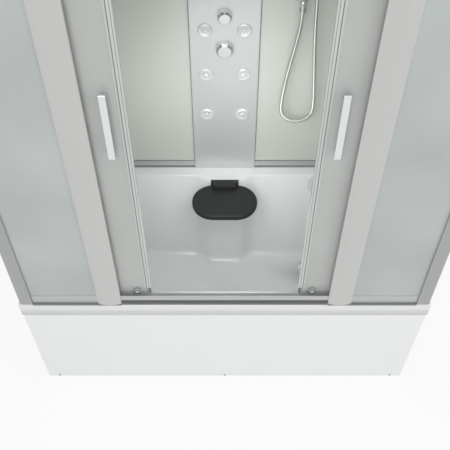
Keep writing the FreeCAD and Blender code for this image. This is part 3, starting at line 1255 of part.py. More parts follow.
def make_hose():
    """A ribbed tube with a bore, as ruled rings along the route."""
    edges = hose_path()
    length = sum(edge.Length for edge in edges)
    plain = 2 * mm("hose_radius")
    pitch = (length - 2 * plain) / HOSE_RIBS

    def ring(distance, radius):
        left = distance
        for edge in edges:
            if left <= edge.Length or edge is edges[-1]:
                break
            left -= edge.Length
        parameter = edge.getParameterByLength(min(left, edge.Length))
        centre = edge.valueAt(parameter)
        along = edge.tangentAt(parameter)
        across = Vector(0, 1, 0)
        across = (across - along * across.dot(along)).normalize()
        circle = Part.Circle(centre, along, radius)
        circle.XAxis = across
        return Part.Wire([circle.toShape()])

    crest, root, bore = mm("hose_radius"), mm("hose_root"), mm("hose_bore")
    stations = [(0, root), (plain, root)]
    rib_shares = ((0.25, crest), (0.7, crest), (0.95, root))
    for rib in range(HOSE_RIBS):
        for share, radius in rib_shares:
            stations.append((plain + (rib + share) * pitch, radius))
        if rib < HOSE_RIBS - 1:
            stations.append((plain + (rib + 1) * pitch, root))
    stations.append((length, root))
    outside = Part.makeLoft([ring(s, r) for s, r in stations], False, True)
    inner_stations = [s for s, r in stations if r == root]
    inside = Part.makeLoft([ring(s, bore) for s in inner_stations], False, True)
    ends = [Part.makeFace([ring(s, root), ring(s, bore)], "Part::FaceMakerBullseye") for s in (0, length)]
    skin = Part.Shell(outside.Faces + inside.Faces + ends)
    skin.sewShape()
    solid = Part.Solid(skin)
    solid.fix(mm("running_gap"), mm("running_gap"), mm("running_gap"))
    slope = (crest ** 2 + crest * root + root ** 2) / 3
    flat, rise, foot = rib_shares[1][0] - rib_shares[0][0], rib_shares[0][0] * 2, 1 - rib_shares[2][0]
    section = math.pi * (crest ** 2 * flat + slope * rise + root ** 2 * foot - bore ** 2)
    print(f"hose length {length:.1f}, volume {solid.Volume:.0f}, section times length {section * length:.0f}")
    hose = doc.addObject("Part::Feature", "Hose")
    hose.Shape = solid
    node("shower_hose", hose)


# Roof: a shallow shell with a rain shower under it.
def make_roof():
    def shell(wall, low):
        grow = f"- {wall}"
        xs = (f"-(roof_x {grow})", f"roof_x {grow}")
        ys = (f"roof_near + {wall}", f"roof_far {grow}")
        top_xs = (f"-(roof_x - roof_inset {grow})", f"roof_x - roof_inset {grow}")
        top_ys = (f"roof_near + roof_inset + {wall}", f"roof_far - roof_inset {grow}")
        return lofted([(top_xs, top_ys, f"roof_top - {wall}", "roof_round"),
                       (xs, ys, "frame_top + roof_skirt", "roof_round"), (xs, ys, low, "roof_round")])
    flange = box(("-roof_x + roof_wall", "roof_x - roof_wall"),
                 ("roof_near + roof_wall", "roof_far - roof_wall"),
                 ("frame_top", "frame_top + roof_wall"))
    clear = box(("-post_inner", "post_inner"), ("sill_rear", "rail_face"),
                ("frame_top - overrun", "frame_top + roof_wall + overrun"))
    pipe = rod("z", "riser_radius + seal_gap * 3", ("frame_top - overrun", "frame_top + roof_wall + overrun"),
               ("0", "riser_y"))
    node("roof", fuse(cut(shell("0", "frame_top"), shell("roof_wall", "frame_top - overrun")),
                      cut(flange, clear, pipe)))
    face = turned("rain_shower", [
        ("0", "0"), ("rain_radius - rain_thick / 2", "0"), ("rain_radius", "rain_thick / 2"),
        ("rain_radius", "rain_thick * 2 / 3"), ("rain_stem * 2", "rain_thick * 2"),
        ("rain_stem", "rain_thick * 3"), ("rain_stem", "rain_hang"), ("0", "rain_hang")],
        "0", "rain_y", "rain_low")
    rings = []
    for ring in range(1, RAIN_RINGS + 1):
        for step in range(6 * ring):
            angle = 2 * math.pi * step / (6 * ring)
            reach = f"rain_radius * {ring} / {RAIN_RINGS + 1}"
            rings.append(rod("z", "rain_nozzle", ("rain_low - rain_nozzle", "rain_low + rain_nozzle"),
                             (f"{reach} * {math.cos(angle):.6f}", f"rain_y + {reach} * {math.sin(angle):.6f}")))
    feed_level = "frame_top + riser_rise - riser_radius"
    feed = rod("y", "pipe_radius", ("rain_y + pipe_radius / 2", "riser_y - riser_radius"), ("0", feed_level))
    node("rain_shower", fuse(face, feed, *rings))


# Seat: a wall plate with two ears, a pin, and a pad whose arms turn on the pin.
def make_seat():
    def wall(level):
        return f"bulge_face - (rim_level - ({level})) * wall_lean"
    low, high = "rim_level - seat_plate_low", "rim_level + seat_plate_high"
    plate = padded("seat_bracket", "YZ", [
        (wall(low), low), ("bulge_face", "rim_level"), ("bulge_face", high), ("bulge_face - seat_plate", high),
        ("bulge_face - seat_plate", "rim_level"), (f"{wall(low)} - seat_plate", low)], "seat_plate_half * 2")
    pieces = [plate]
    for span in (("-seat_plate_half", "-seat_plate_half + hinge_ear"),
                 ("seat_plate_half - hinge_ear", "seat_plate_half")):
        pieces.append(rod("x", "hinge_ear", span, ("hinge_y", "hinge_z")))
        pieces.append(box(span, ("hinge_y", "bulge_face - seat_plate / 2"), ("rim_level", "hinge_z")))
    bore = rod("x", "hinge_pin + running_gap", ("-seat_plate_half - overrun", "seat_plate_half + overrun"),
               ("hinge_y", "hinge_z"))
    node("seat_bracket", cut(fuse(*pieces), bore))
    node("seat_pin", rod("x", "hinge_pin", ("-seat_plate_half", "seat_plate_half"), ("hinge_y", "hinge_z")))

    body, sketch = new_body("seat", "XY")
    middle, r, half = mm("seat_middle"), mm("seat_round"), mm("seat_half_straight")
    sketch.addGeometry(Part.LineSegment(Vector(-half, middle - r, 0), Vector(half, middle - r, 0)), False)
    right = Part.Circle(Vector(half, middle, 0), Vector(0, 0, 1), r)
    sketch.addGeometry(Part.ArcOfCircle(right, -math.pi / 2, math.pi / 2), False)
    sketch.addGeometry(Part.LineSegment(Vector(half, middle + r, 0), Vector(-half, middle + r, 0)), False)
    left = Part.Circle(Vector(-half, middle, 0), Vector(0, 0, 1), r)
    sketch.addGeometry(Part.ArcOfCircle(left, math.pi / 2, 3 * math.pi / 2), False)
    for line in range(4):
        sketch.addConstraint(Sketcher.Constraint("Tangent", line, 2, (line + 1) % 4, 1))
    sketch.addConstraint(Sketcher.Constraint("Horizontal", 0))
    sizes = [("centre_y", ("DistanceY", 1, 3), middle, "seat_middle"), ("end", ("Radius", 1), r, "seat_round"),
             ("right_x", ("DistanceX", 1, 3), half, "seat_half_straight"),
             ("left_x", ("DistanceX", 3, 3), -half, "-seat_half_straight")]
    for name, where, value, text in sizes:
        number = sketch.addConstraint(Sketcher.Constraint(*where, value))
        sketch.renameConstraint(number, name)
        sketch.setExpression(f"Constraints.{name}", named(text))
    pad = body.newObject("PartDesign::Pad", "seat_pad")
    pad.Profile = sketch
    bind(pad, Length="seat_thick")
    seat_at(body, "0", "0", "seat_z_low")
    slab = rounded(body, "seat_ease", lambda e: True)
    pieces = [slab]
    inner = "seat_plate_half - hinge_ear - seal_gap"
    for near, far in ((f"-({inner})", f"-({inner}) + arm_width"), (f"{inner} - arm_width", inner)):
        pieces.append(rod("x", "hinge_knuckle", (near, far), ("hinge_y", "hinge_z")))
        pieces.append(box((near, far), ("hinge_y - arm_reach", "hinge_y"),
                          ("seat_z_high - seat_thick / 2", "hinge_z")))
    pieces.append(box((f"-({inner})", inner), ("hinge_y - arm_reach", "hinge_y + hinge_pin + flap_wall"),
                      ("seat_z_high - seat_thick / 2", "hinge_z + hinge_pin + flap_wall")))
    heel_back = f"{wall('seat_z_low')} - seat_plate - seal_gap"
    pieces.append(box(("-heel_half", "heel_half"), ("seat_rear - seat_ease", heel_back),
                      ("seat_z_low", "seat_z_low + heel_height")))
    bore = rod("x", "hinge_pin + running_gap", ("-seat_plate_half", "seat_plate_half"), ("hinge_y", "hinge_z"))
    node("seat", cut(fuse(*pieces), bore))


for make in (make_tray, make_skirts, make_base_frame, make_feet, make_waste, make_posts, make_mullions,
             make_front_rails, make_other_rails, make_panes, make_gaskets, make_doors, make_column,
             make_mixer, make_outlet, make_slide_bar, make_handset, make_hose, make_roof, make_seat):
    make()
doc.recompute()

# Nothing is written unless every object and every named piece is sound.
faults = [f"{o.Name} {o.State}" for o in doc.Objects if {"Invalid", "Error"} & set(o.State)]
for label, thing in nodes.items():
    shape = thing.Shape
    if shape.isNull() or not shape.isValid() or not shape.Solids or shape.Volume <= 0:
        faults.append(f"{label} has no sound shape")
if faults:
    raise SystemExit("\n".join(faults))
os.makedirs("parts", exist_ok=True)
for label, thing in nodes.items():
    thing.Shape.exportStep(os.path.join("parts", label + ".step"))
print(len(nodes), "nodes")
for text in ("hinge_y", "hinge_z", "pivot_y", "overflow_y", "waste_y", "lower_axle", "upper_axle",
             "wheel_back", "door_front", "column_face", "riser_y", "mixer_rear"):
    print(text, round(mm(text), 3))
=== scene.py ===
# %% [markdown]
# # A shower cabin with a deep tray, sliding doors and a folding seat
# The cabin's working parts come packed from CAD, and each of them keeps its place. This lesson dresses them:
# first the camera and the hose, then the finishes, and then the pieces whose real shape is softer than the
# CAD's. The new pieces hang on empties named for the bodies that move them, all but the hose.

# %% Load the imported cabin
import json
import math

import bmesh
import bpy
from mathutils import Matrix, Vector


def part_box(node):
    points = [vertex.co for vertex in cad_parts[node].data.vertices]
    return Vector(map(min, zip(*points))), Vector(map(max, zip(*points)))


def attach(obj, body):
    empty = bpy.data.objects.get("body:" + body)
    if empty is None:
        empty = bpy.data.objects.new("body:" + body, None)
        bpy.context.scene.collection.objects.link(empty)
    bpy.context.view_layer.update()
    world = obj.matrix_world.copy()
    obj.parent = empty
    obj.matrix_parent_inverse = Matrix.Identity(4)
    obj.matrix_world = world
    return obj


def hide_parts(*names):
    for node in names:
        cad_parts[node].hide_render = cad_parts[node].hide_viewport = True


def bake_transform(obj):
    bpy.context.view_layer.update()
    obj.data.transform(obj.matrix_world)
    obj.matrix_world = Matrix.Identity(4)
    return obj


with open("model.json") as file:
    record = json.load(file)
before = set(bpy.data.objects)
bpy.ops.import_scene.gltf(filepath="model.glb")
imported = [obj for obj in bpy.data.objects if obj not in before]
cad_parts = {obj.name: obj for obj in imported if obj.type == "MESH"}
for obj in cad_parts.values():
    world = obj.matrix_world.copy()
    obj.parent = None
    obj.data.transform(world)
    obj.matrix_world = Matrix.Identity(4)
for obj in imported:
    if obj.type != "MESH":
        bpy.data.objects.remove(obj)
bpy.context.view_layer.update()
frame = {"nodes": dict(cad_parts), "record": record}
nodes = frame["nodes"]

# %% [markdown]
# ## Camera
# The photograph looks down through the open doors from above the roof's front edge, so the upright posts
# splay towards the viewer. The lens and the place below were worked out from the tray's rim and skirt.

# %% Camera
CAMERA_PLACE = (0.0, -1.8113, 2.7093)
CAMERA_PITCH = 50.37
LENS = 56.7
SENSOR = 36.0
CAMERA_SHIFT = 0.0007
camera_data = bpy.data.cameras.new("photo_camera")
camera_data.lens = LENS
camera_data.sensor_width = SENSOR
camera_data.shift_x = CAMERA_SHIFT
camera = bpy.data.objects.new("photo_camera", camera_data)
camera.location = CAMERA_PLACE
camera.rotation_euler = (math.radians(90 - CAMERA_PITCH), 0, 0)
bpy.context.scene.collection.objects.link(camera)
bpy.context.scene.camera = camera
bpy.context.scene.view_settings.view_transform = "Standard"
print("camera", CAMERA_PLACE, "lens", LENS)

# %% [markdown]
# ## Shared shader groups
# Real surfaces differ in small ways over their area. A group with named inputs holds each such effect once:
# a drawn metal grain or a moulded skin's faint unevenness, the cloudy frost of etched glass, and the crystal
# pattern of galvanised steel. Every material places a group with its own values and joins it to its shader.


# %% Helpers for groups and colours
def tone(red, green, blue):
    """A colour on the 0 to 255 scale, turned into the linear values that shaders use."""
    def linear(value):
        value /= 255
        return value / 12.92 if value <= 0.04045 else ((value + 0.055) / 1.055) ** 2.4
    return (linear(red), linear(green), linear(blue), 1.0)


def new_group(name, inputs, outputs):
    """An empty shader group with sockets: (name, type, default) for inputs, (name, type) for outputs."""
    group = bpy.data.node_groups.new(name, "ShaderNodeTree")
    for label, kind, default in inputs:
        socket = group.interface.new_socket(label, in_out="INPUT", socket_type=kind)
        socket.default_value = default
    for label, kind in outputs:
        group.interface.new_socket(label, in_out="OUTPUT", socket_type=kind)
    return group, group.nodes.new("NodeGroupInput"), group.nodes.new("NodeGroupOutput")


def add(tree, kind, **settings):
    """A node with its settings: properties by name, and sockets by index or name in `values`."""
    values = settings.pop("values", {})
    made = tree.nodes.new(kind)
    for key, value in settings.items():
        setattr(made, key, value)
    for key, value in values.items():
        made.inputs[key].default_value = value
    return made


# %% A mottled surface with a stretched grain
grain, grain_in, grain_out = new_group(
    "surface_grain",
    [("Color", "NodeSocketColor", (0.8, 0.8, 0.8, 1)), ("Mottle", "NodeSocketFloat", 0.03),
     ("Mottle Scale", "NodeSocketFloat", 3.0), ("Grain", "NodeSocketVector", (200.0, 200.0, 200.0)),
     ("Roughness", "NodeSocketFloat", 0.3), ("Roughness Spread", "NodeSocketFloat", 0.05)],
    [("Color", "NodeSocketColor"), ("Roughness", "NodeSocketFloat"), ("Height", "NodeSocketFloat")])
place = add(grain, "ShaderNodeTexCoord")
cloud = add(grain, "ShaderNodeTexNoise", values={"Detail": 3.0, "Roughness": 0.5})
stretch = add(grain, "ShaderNodeVectorMath", operation="MULTIPLY")
lines = add(grain, "ShaderNodeTexNoise", values={"Scale": 1.0, "Detail": 2.0, "Roughness": 0.6})
centred = add(grain, "ShaderNodeMath", operation="SUBTRACT", values={1: 0.5})
amount = add(grain, "ShaderNodeMath", operation="MULTIPLY_ADD", values={2: 1.0})
shade = add(grain, "ShaderNodeVectorMath", operation="SCALE")
line_centred = add(grain, "ShaderNodeMath", operation="SUBTRACT", values={1: 0.5})
rough = add(grain, "ShaderNodeMath", operation="MULTIPLY_ADD")
grain.links.new(place.outputs["Object"], cloud.inputs["Vector"])
grain.links.new(grain_in.outputs["Mottle Scale"], cloud.inputs["Scale"])
grain.links.new(place.outputs["Object"], stretch.inputs[0])
grain.links.new(grain_in.outputs["Grain"], stretch.inputs[1])
grain.links.new(stretch.outputs[0], lines.inputs["Vector"])
grain.links.new(cloud.outputs["Fac"], centred.inputs[0])
grain.links.new(centred.outputs[0], amount.inputs[0])
grain.links.new(grain_in.outputs["Mottle"], amount.inputs[1])
grain.links.new(grain_in.outputs["Color"], shade.inputs[0])
grain.links.new(amount.outputs[0], shade.inputs["Scale"])
grain.links.new(lines.outputs["Fac"], line_centred.inputs[0])
grain.links.new(line_centred.outputs[0], rough.inputs[0])
grain.links.new(grain_in.outputs["Roughness Spread"], rough.inputs[1])
grain.links.new(grain_in.outputs["Roughness"], rough.inputs[2])
grain.links.new(shade.outputs[0], grain_out.inputs["Color"])
grain.links.new(rough.outputs[0], grain_out.inputs["Roughness"])
grain.links.new(lines.outputs["Fac"], grain_out.inputs["Height"])
print("group", grain.name, "with", len(grain.nodes), "nodes")

# %% Etched glass: clouds in its tint and in how much it lets through
frost, frost_in, frost_out = new_group(
    "etched_frost",
    [("Color", "NodeSocketColor", (0.7, 0.74, 0.74, 1)), ("Cover", "NodeSocketFloat", 0.85),
     ("Cloud", "NodeSocketFloat", 0.1), ("Cloud Scale", "NodeSocketFloat", 2.5)],
    [("Color", "NodeSocketColor"), ("Alpha", "NodeSocketFloat"), ("Roughness", "NodeSocketFloat"),
     ("Height", "NodeSocketFloat")])
place = add(frost, "ShaderNodeTexCoord")
cloud = add(frost, "ShaderNodeTexNoise", values={"Detail": 2.0, "Roughness": 0.45})
etch = add(frost, "ShaderNodeTexNoise", values={"Scale": 900.0, "Detail": 1.0})
centred = add(frost, "ShaderNodeMath", operation="SUBTRACT", values={1: 0.5})
cover = add(frost, "ShaderNodeMath", operation="MULTIPLY_ADD", use_clamp=True)
tint = add(frost, "ShaderNodeMath", operation="MULTIPLY_ADD", values={1: 0.12, 2: 1.0})
shade = add(frost, "ShaderNodeVectorMath", operation="SCALE")
rough = add(frost, "ShaderNodeMath", operation="MULTIPLY_ADD", values={1: 0.1, 2: 0.30})
frost.links.new(place.outputs["Object"], cloud.inputs["Vector"])
frost.links.new(place.outputs["Object"], etch.inputs["Vector"])
frost.links.new(frost_in.outputs["Cloud Scale"], cloud.inputs["Scale"])
frost.links.new(cloud.outputs["Fac"], centred.inputs[0])
frost.links.new(centred.outputs[0], cover.inputs[0])
frost.links.new(frost_in.outputs["Cloud"], cover.inputs[1])
frost.links.new(frost_in.outputs["Cover"], cover.inputs[2])
frost.links.new(centred.outputs[0], tint.inputs[0])
frost.links.new(frost_in.outputs["Color"], shade.inputs[0])
frost.links.new(tint.outputs[0], shade.inputs["Scale"])
frost.links.new(centred.outputs[0], rough.inputs[0])
frost.links.new(shade.outputs[0], frost_out.inputs["Color"])
frost.links.new(cover.outputs[0], frost_out.inputs["Alpha"])
frost.links.new(rough.outputs[0], frost_out.inputs["Roughness"])
frost.links.new(etch.outputs["Fac"], frost_out.inputs["Height"])
print("group", frost.name, "with", len(frost.nodes), "nodes")

# %% Galvanised steel: flat crystals that each shine a little differently
zinc, zinc_in, zinc_out = new_group(
    "zinc_crystals",
    [("Color", "NodeSocketColor", (0.4, 0.41, 0.42, 1)), ("Crystal Scale", "NodeSocketFloat", 70.0),
     ("Contrast", "NodeSocketFloat", 0.3)],
    [("Color", "NodeSocketColor"), ("Roughness", "NodeSocketFloat")])
place = add(zinc, "ShaderNodeTexCoord")
crystals = add(zinc, "ShaderNodeTexVoronoi")
parted = add(zinc, "ShaderNodeSeparateColor")
centred = add(zinc, "ShaderNodeMath", operation="SUBTRACT", values={1: 0.5})
amount = add(zinc, "ShaderNodeMath", operation="MULTIPLY_ADD", values={2: 1.0})
shade = add(zinc, "ShaderNodeVectorMath", operation="SCALE")
rough = add(zinc, "ShaderNodeMath", operation="MULTIPLY_ADD", values={1: 0.25, 2: 0.32})
zinc.links.new(place.outputs["Object"], crystals.inputs["Vector"])
zinc.links.new(zinc_in.outputs["Crystal Scale"], crystals.inputs["Scale"])
zinc.links.new(crystals.outputs["Color"], parted.inputs["Color"])
zinc.links.new(parted.outputs["Red"], centred.inputs[0])
zinc.links.new(centred.outputs[0], amount.inputs[0])
zinc.links.new(zinc_in.outputs["Contrast"], amount.inputs[1])
zinc.links.new(zinc_in.outputs["Color"], shade.inputs[0])
zinc.links.new(amount.outputs[0], shade.inputs["Scale"])
zinc.links.new(parted.outputs["Green"], rough.inputs[0])
zinc.links.new(shade.outputs[0], zinc_out.inputs["Color"])
zinc.links.new(rough.outputs[0], zinc_out.inputs["Roughness"])
print("group", zinc.name, "with", len(zinc.nodes), "nodes")

# %% [markdown]
# ## Finishes
# The cabin has four families: glossy sanitary acrylic, satin aluminium, etched or painted glass, and bright
# plated metal. Each finish below is the same shader with its own colour, grain and gloss.


# %% Make a solid finish
FINE_COAT = 0.06


def finish(name, colour, roughness=0.3, spread=0.05, mottle=0.03, mottle_scale=3.0,
           grain_scale=(200, 200, 200), bump=0.0, metallic=0.0, coat=0.0, specular=0.5):
    """A material whose colour, roughness and height come from the shared grain group."""
    material = bpy.data.materials.new(name)
    material.use_nodes = True
    tree = material.node_tree
    shader = tree.nodes["Principled BSDF"]
    shader.inputs["Metallic"].default_value = metallic
    shader.inputs["Coat Weight"].default_value = coat
    shader.inputs["Coat Roughness"].default_value = FINE_COAT
    shader.inputs["Specular IOR Level"].default_value = specular
    surface = add(tree, "ShaderNodeGroup", node_tree=grain, values={
        "Color": colour, "Mottle": mottle, "Mottle Scale": mottle_scale, "Grain": grain_scale,
        "Roughness": roughness, "Roughness Spread": spread})
    tree.links.new(surface.outputs["Color"], shader.inputs["Base Color"])
    tree.links.new(surface.outputs["Roughness"], shader.inputs["Roughness"])
    if bump:
        relief = add(tree, "ShaderNodeBump", values={"Strength": 1.0, "Distance": bump})
        tree.links.new(surface.outputs["Height"], relief.inputs["Height"])
        tree.links.new(relief.outputs["Normal"], shader.inputs["Normal"])
    return material


# %% Make etched glass and galvanised steel
GLASS_IOR = 1.5
ETCH_DEPTH = 0.00005


def frosted(name, colour, cover, cloud, cloud_scale):
    """Etched glass: mostly covering, a little see-through, with soft clouds."""
    material = bpy.data.materials.new(name)
    material.use_nodes = True
    tree = material.node_tree
    shader = tree.nodes["Principled BSDF"]
    shader.inputs["IOR"].default_value = GLASS_IOR
    surface = add(tree, "ShaderNodeGroup", node_tree=frost, values={
        "Color": colour, "Cover": cover, "Cloud": cloud, "Cloud Scale": cloud_scale})
    relief = add(tree, "ShaderNodeBump", values={"Strength": 0.3, "Distance": ETCH_DEPTH})
    tree.links.new(surface.outputs["Color"], shader.inputs["Base Color"])
    tree.links.new(surface.outputs["Alpha"], shader.inputs["Alpha"])
    tree.links.new(surface.outputs["Roughness"], shader.inputs["Roughness"])
    tree.links.new(surface.outputs["Height"], relief.inputs["Height"])
    tree.links.new(relief.outputs["Normal"], shader.inputs["Normal"])
    return material


def galvanised(name, colour):
    """Zinc-coated tube: grey crystals of different brightness and gloss."""
    material = bpy.data.materials.new(name)
    material.use_nodes = True
    tree = material.node_tree
    shader = tree.nodes["Principled BSDF"]
    shader.inputs["Metallic"].default_value = 0.8
    surface = add(tree, "ShaderNodeGroup", node_tree=zinc, values={"Color": colour})
    tree.links.new(surface.outputs["Color"], shader.inputs["Base Color"])
    tree.links.new(surface.outputs["Roughness"], shader.inputs["Roughness"])
    return material


# %% Directions of the grain and depths of the relief
UPRIGHT, LEVEL = (900.0, 900.0, 6.0), (6.0, 900.0, 900.0)
FINE, LEATHERY = (700.0, 700.0, 700.0), (1500.0, 1500.0, 1500.0)
SATIN, DRAWN, MOULDED, RUBBERY, PEBBLED, CAST = 0.00001, 0.00002, 0.00003, 0.00005, 0.00006, 0.0001

# %% One finish for each material slot of the record: colour, roughness and its spread, mottle and its scale
finishes = {
    "tray_acrylic": finish("tray_acrylic", tone(228, 230, 229), 0.16, 0.04, 0.012, 1.5, coat=0.3),
    "skirt_white": finish("skirt_white", tone(238, 240, 240), 0.30, 0.04, 0.012, 1.2, coat=0.1),
    "roof_acrylic": finish("roof_acrylic", tone(232, 234, 234), 0.22, 0.04, 0.02, 1.5, coat=0.3),
    "knob_white": finish("knob_white", tone(212, 216, 218), 0.2, coat=0.3),
    "profile_aluminium": finish(
        "profile_aluminium", tone(170, 172, 171), 0.42, 0.14, 0.03, 4, UPRIGHT, DRAWN, 0.6),
    "mullion_aluminium": finish(
        "mullion_aluminium", tone(198, 199, 197), 0.40, 0.12, 0.03, 4, UPRIGHT, DRAWN, 0.5),
    "rail_aluminium": finish("rail_aluminium", tone(190, 192, 191), 0.36, 0.14, 0.03, 4, LEVEL, DRAWN, 0.7),
    "column_aluminium": finish(
        "column_aluminium", tone(208, 210, 209), 0.42, 0.06, 0.02, 3, FINE, SATIN, 0.35),
    "painted_glass": finish("painted_glass", tone(202, 206, 199), 0.14, 0.02, 0.02, 1.5, coat=0.25),
    # This grey is the gaskets' own colour, and also the tone of the painted shadow strips along the sill,
    # rail and column.
    "gasket_rubber": finish("gasket_rubber", tone(122, 125, 123), 0.6, 0.1, 0.08, 30, FINE, MOULDED),
    "seal_plastic": finish("seal_plastic", tone(200, 203, 199), 0.35, 0.08, 0.03, 10),
    "chrome": finish("chrome", tone(206, 209, 208), 0.26, 0.05, 0.01, 20, FINE, metallic=0.75),
    "chrome_steel": finish("chrome_steel", tone(226, 228, 229), 0.12, 0.05, 0.01, 20, FINE, metallic=1.0),
    "jet_chrome": finish("jet_chrome", tone(212, 216, 216), 0.32, 0.05, 0.02, 20, FINE, metallic=0.2),
    "knob_chrome": finish("knob_chrome", tone(224, 226, 228), 0.14, 0.05, 0.02, 20, FINE, metallic=0.9),
    "shower_chrome": finish("shower_chrome", tone(224, 226, 228), 0.10, 0.05, 0.02, 20, FINE, metallic=0.9),
    "hose_steel": finish("hose_steel", tone(204, 205, 200), 0.28, 0.1, 0.03, 60, FINE, metallic=0.8),
    "mixer_brass": finish("mixer_brass", tone(196, 168, 104), 0.38, 0.15, 0.12, 25, FINE, CAST, 0.9),
    "frame_steel": galvanised("frame_steel", tone(168, 171, 174)),
    "screw_steel": finish("screw_steel", tone(120, 122, 123), 0.4, 0.1, 0.05, 60, FINE, metallic=0.7),
    "foot_plastic": finish("foot_plastic", tone(45, 46, 48), 0.5, 0.1, 0.06, 40, FINE, RUBBERY),
    "trap_plastic": finish("trap_plastic", tone(205, 205, 200), 0.4, 0.1, 0.04, 20, FINE, MOULDED),
    "wheel_plastic": finish("wheel_plastic", tone(186, 188, 188), 0.4, 0.08, 0.03, 40, FINE, DRAWN),
    "seat_black": finish(
        "seat_black", tone(38, 40, 39), 0.55, 0.1, 0.06, 12, LEATHERY, PEBBLED, specular=0.35),
    "frosted_glass": frosted("frosted_glass", tone(193, 199, 197), 0.86, 0.25, 3.0),
    "door_glass": frosted("door_glass", tone(189, 192, 189), 0.90, 0.12, 2.5),
}

# %% Dress every piece, and give the roller brackets the rollers' grey, as the photograph shows them
for row in frame["record"]["subparts"]:
    data = nodes[row["node"]].data
    data.materials.clear()
    data.materials.append(finishes[row["material_slot"]])
for side in ("left", "right"):
    nodes[f"door_roller_brackets_{side}"].data.materials[0] = finishes["wheel_plastic"]
print(len(finishes), "finishes on", len(nodes), "pieces")

# %% [markdown]
# ## Helpers for pieces
# A bmesh is a workbench: operators make and bend faces on it, and only the result becomes an object.


# %% Turn a bmesh into a piece that rides on a body
def piece(name, bm, body, slot, stands_for=(), smooth=True):
    """The finished mesh as an object at the origin, with its finish, its body and the nodes it stands for."""
    mesh = bpy.data.meshes.new(name)
    bm.to_mesh(mesh)
    bm.free()
    made = bpy.data.objects.new(name, mesh)
    bpy.context.scene.collection.objects.link(made)
    mesh.materials.append(finishes[slot])
    if smooth:
        mesh.shade_smooth()
    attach(made, body)
    if stands_for:
        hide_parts(*stands_for)
    print(name, len(mesh.polygons), "faces")
    return made


def bar(bm, outline, along, start, end):
    """A flat outline of a few points, (y, z) along x or (x, y) along z, extruded into a straight bar."""
    spots = [(start, a, b) if along == "x" else (a, b, start) for a, b in outline]
    face = bm.faces.new([bm.verts.new(spot) for spot in spots])
    made = bmesh.ops.extrude_face_region(bm, geom=[face])["geom"]
    moved = [item for item in made if isinstance(item, bmesh.types.BMVert)]
    run = end - start
    bmesh.ops.translate(bm, vec=(run, 0, 0) if along == "x" else (0, 0, run), verts=moved)
    bmesh.ops.recalc_face_normals(bm, faces=bm.faces)


# %% [markdown]
# ## The shower hose
# A metal shower hose is a wound strip: fine round ribs on a flexible tube. It hangs from the outlet elbow in
# one loop and rises to the hand shower. A NURBS curve gives the hanging line. The ribs are rings read along
# that line and bridged into one tube.

# %% The hose's line
HOSE_ROUTE = [
    (0.262, 0.262, 1.330), (0.262, 0.262, 1.285), (0.250, 0.260, 1.200), (0.228, 0.257, 1.075),
    (0.2135, 0.252, 0.955), (0.2135, 0.252, 0.8963), (0.2300, 0.252, 0.8673), (0.2583, 0.252, 0.8505),
    (0.2895, 0.252, 0.8505), (0.3180, 0.252, 0.8673), (0.3345, 0.252, 0.8963), (0.3345, 0.252, 0.955),
    (0.324, 0.248, 1.080), (0.310, 0.240, 1.240), (0.302, 0.231, 1.400), (0.299, 0.226, 1.555),
    (0.2985, 0.229, 1.665), (0.300, 0.2282, 1.7292), (0.300, 0.2181, 1.7697),
]
HOSE_DIAMETER, HOSE_LENGTH = 0.014, 1.49
line = bpy.data.curves.new("hose_line", "CURVE")
line.dimensions = "3D"
line.resolution_u = 24
spline = line.splines.new("NURBS")
spline.points.add(len(HOSE_ROUTE) - 1)
for point, spot in zip(spline.points, HOSE_ROUTE):
    point.co = (*spot, 1.0)
spline.order_u = 3
spline.use_endpoint_u = True
line_object = bpy.data.objects.new("hose_line", line)
bpy.context.scene.collection.objects.link(line_object)
bpy.context.view_layer.update()
read = bpy.data.meshes.new_from_object(line_object.evaluated_get(bpy.context.evaluated_depsgraph_get()))
hose_points = [vertex.co.copy() for vertex in read.vertices]
bpy.data.meshes.remove(read)
bpy.data.objects.remove(line_object)
hose_run = sum((b - a).length for a, b in zip(hose_points, hose_points[1:]))
print("hose line", len(hose_points), "points,", round(hose_run, 3), "m")

# %% Ribs along the line
RIB_PITCH = 0.0078
RIB_SIDES = 16
RIB_NECK = 0.70
PLAIN_END = 0.98 * HOSE_DIAMETER
rib_profile = [(0.0, RIB_NECK), (0.12, 0.88), (0.28, 0.98), (0.45, 1.0), (0.62, 0.98), (0.78, 0.88),
               (0.9, RIB_NECK)]


def at_distance(points, distance):
    """The place and direction at a distance along a line of points."""
    for start, end in zip(points, points[1:]):
        step = (end - start).length
        if distance <= step:
            return start.lerp(end, distance / step), (end - start).normalized()
        distance -= step
    return points[-1], (points[-1] - points[-2]).normalized()


def ring(bm, centre, along, radius):
    """One circle of the tube, square to the line, with a steady start so that the tube doesn't twist."""
    across = Vector((0, 1, 0))
    across = (across - along * across.dot(along)).normalized()
    turn = Matrix((across, along.cross(across), along)).transposed().to_4x4()
    made = bmesh.ops.create_circle(
        bm, segments=RIB_SIDES, radius=radius, matrix=Matrix.Translation(centre) @ turn)
    return list({edge for vertex in made["verts"] for edge in vertex.link_edges})


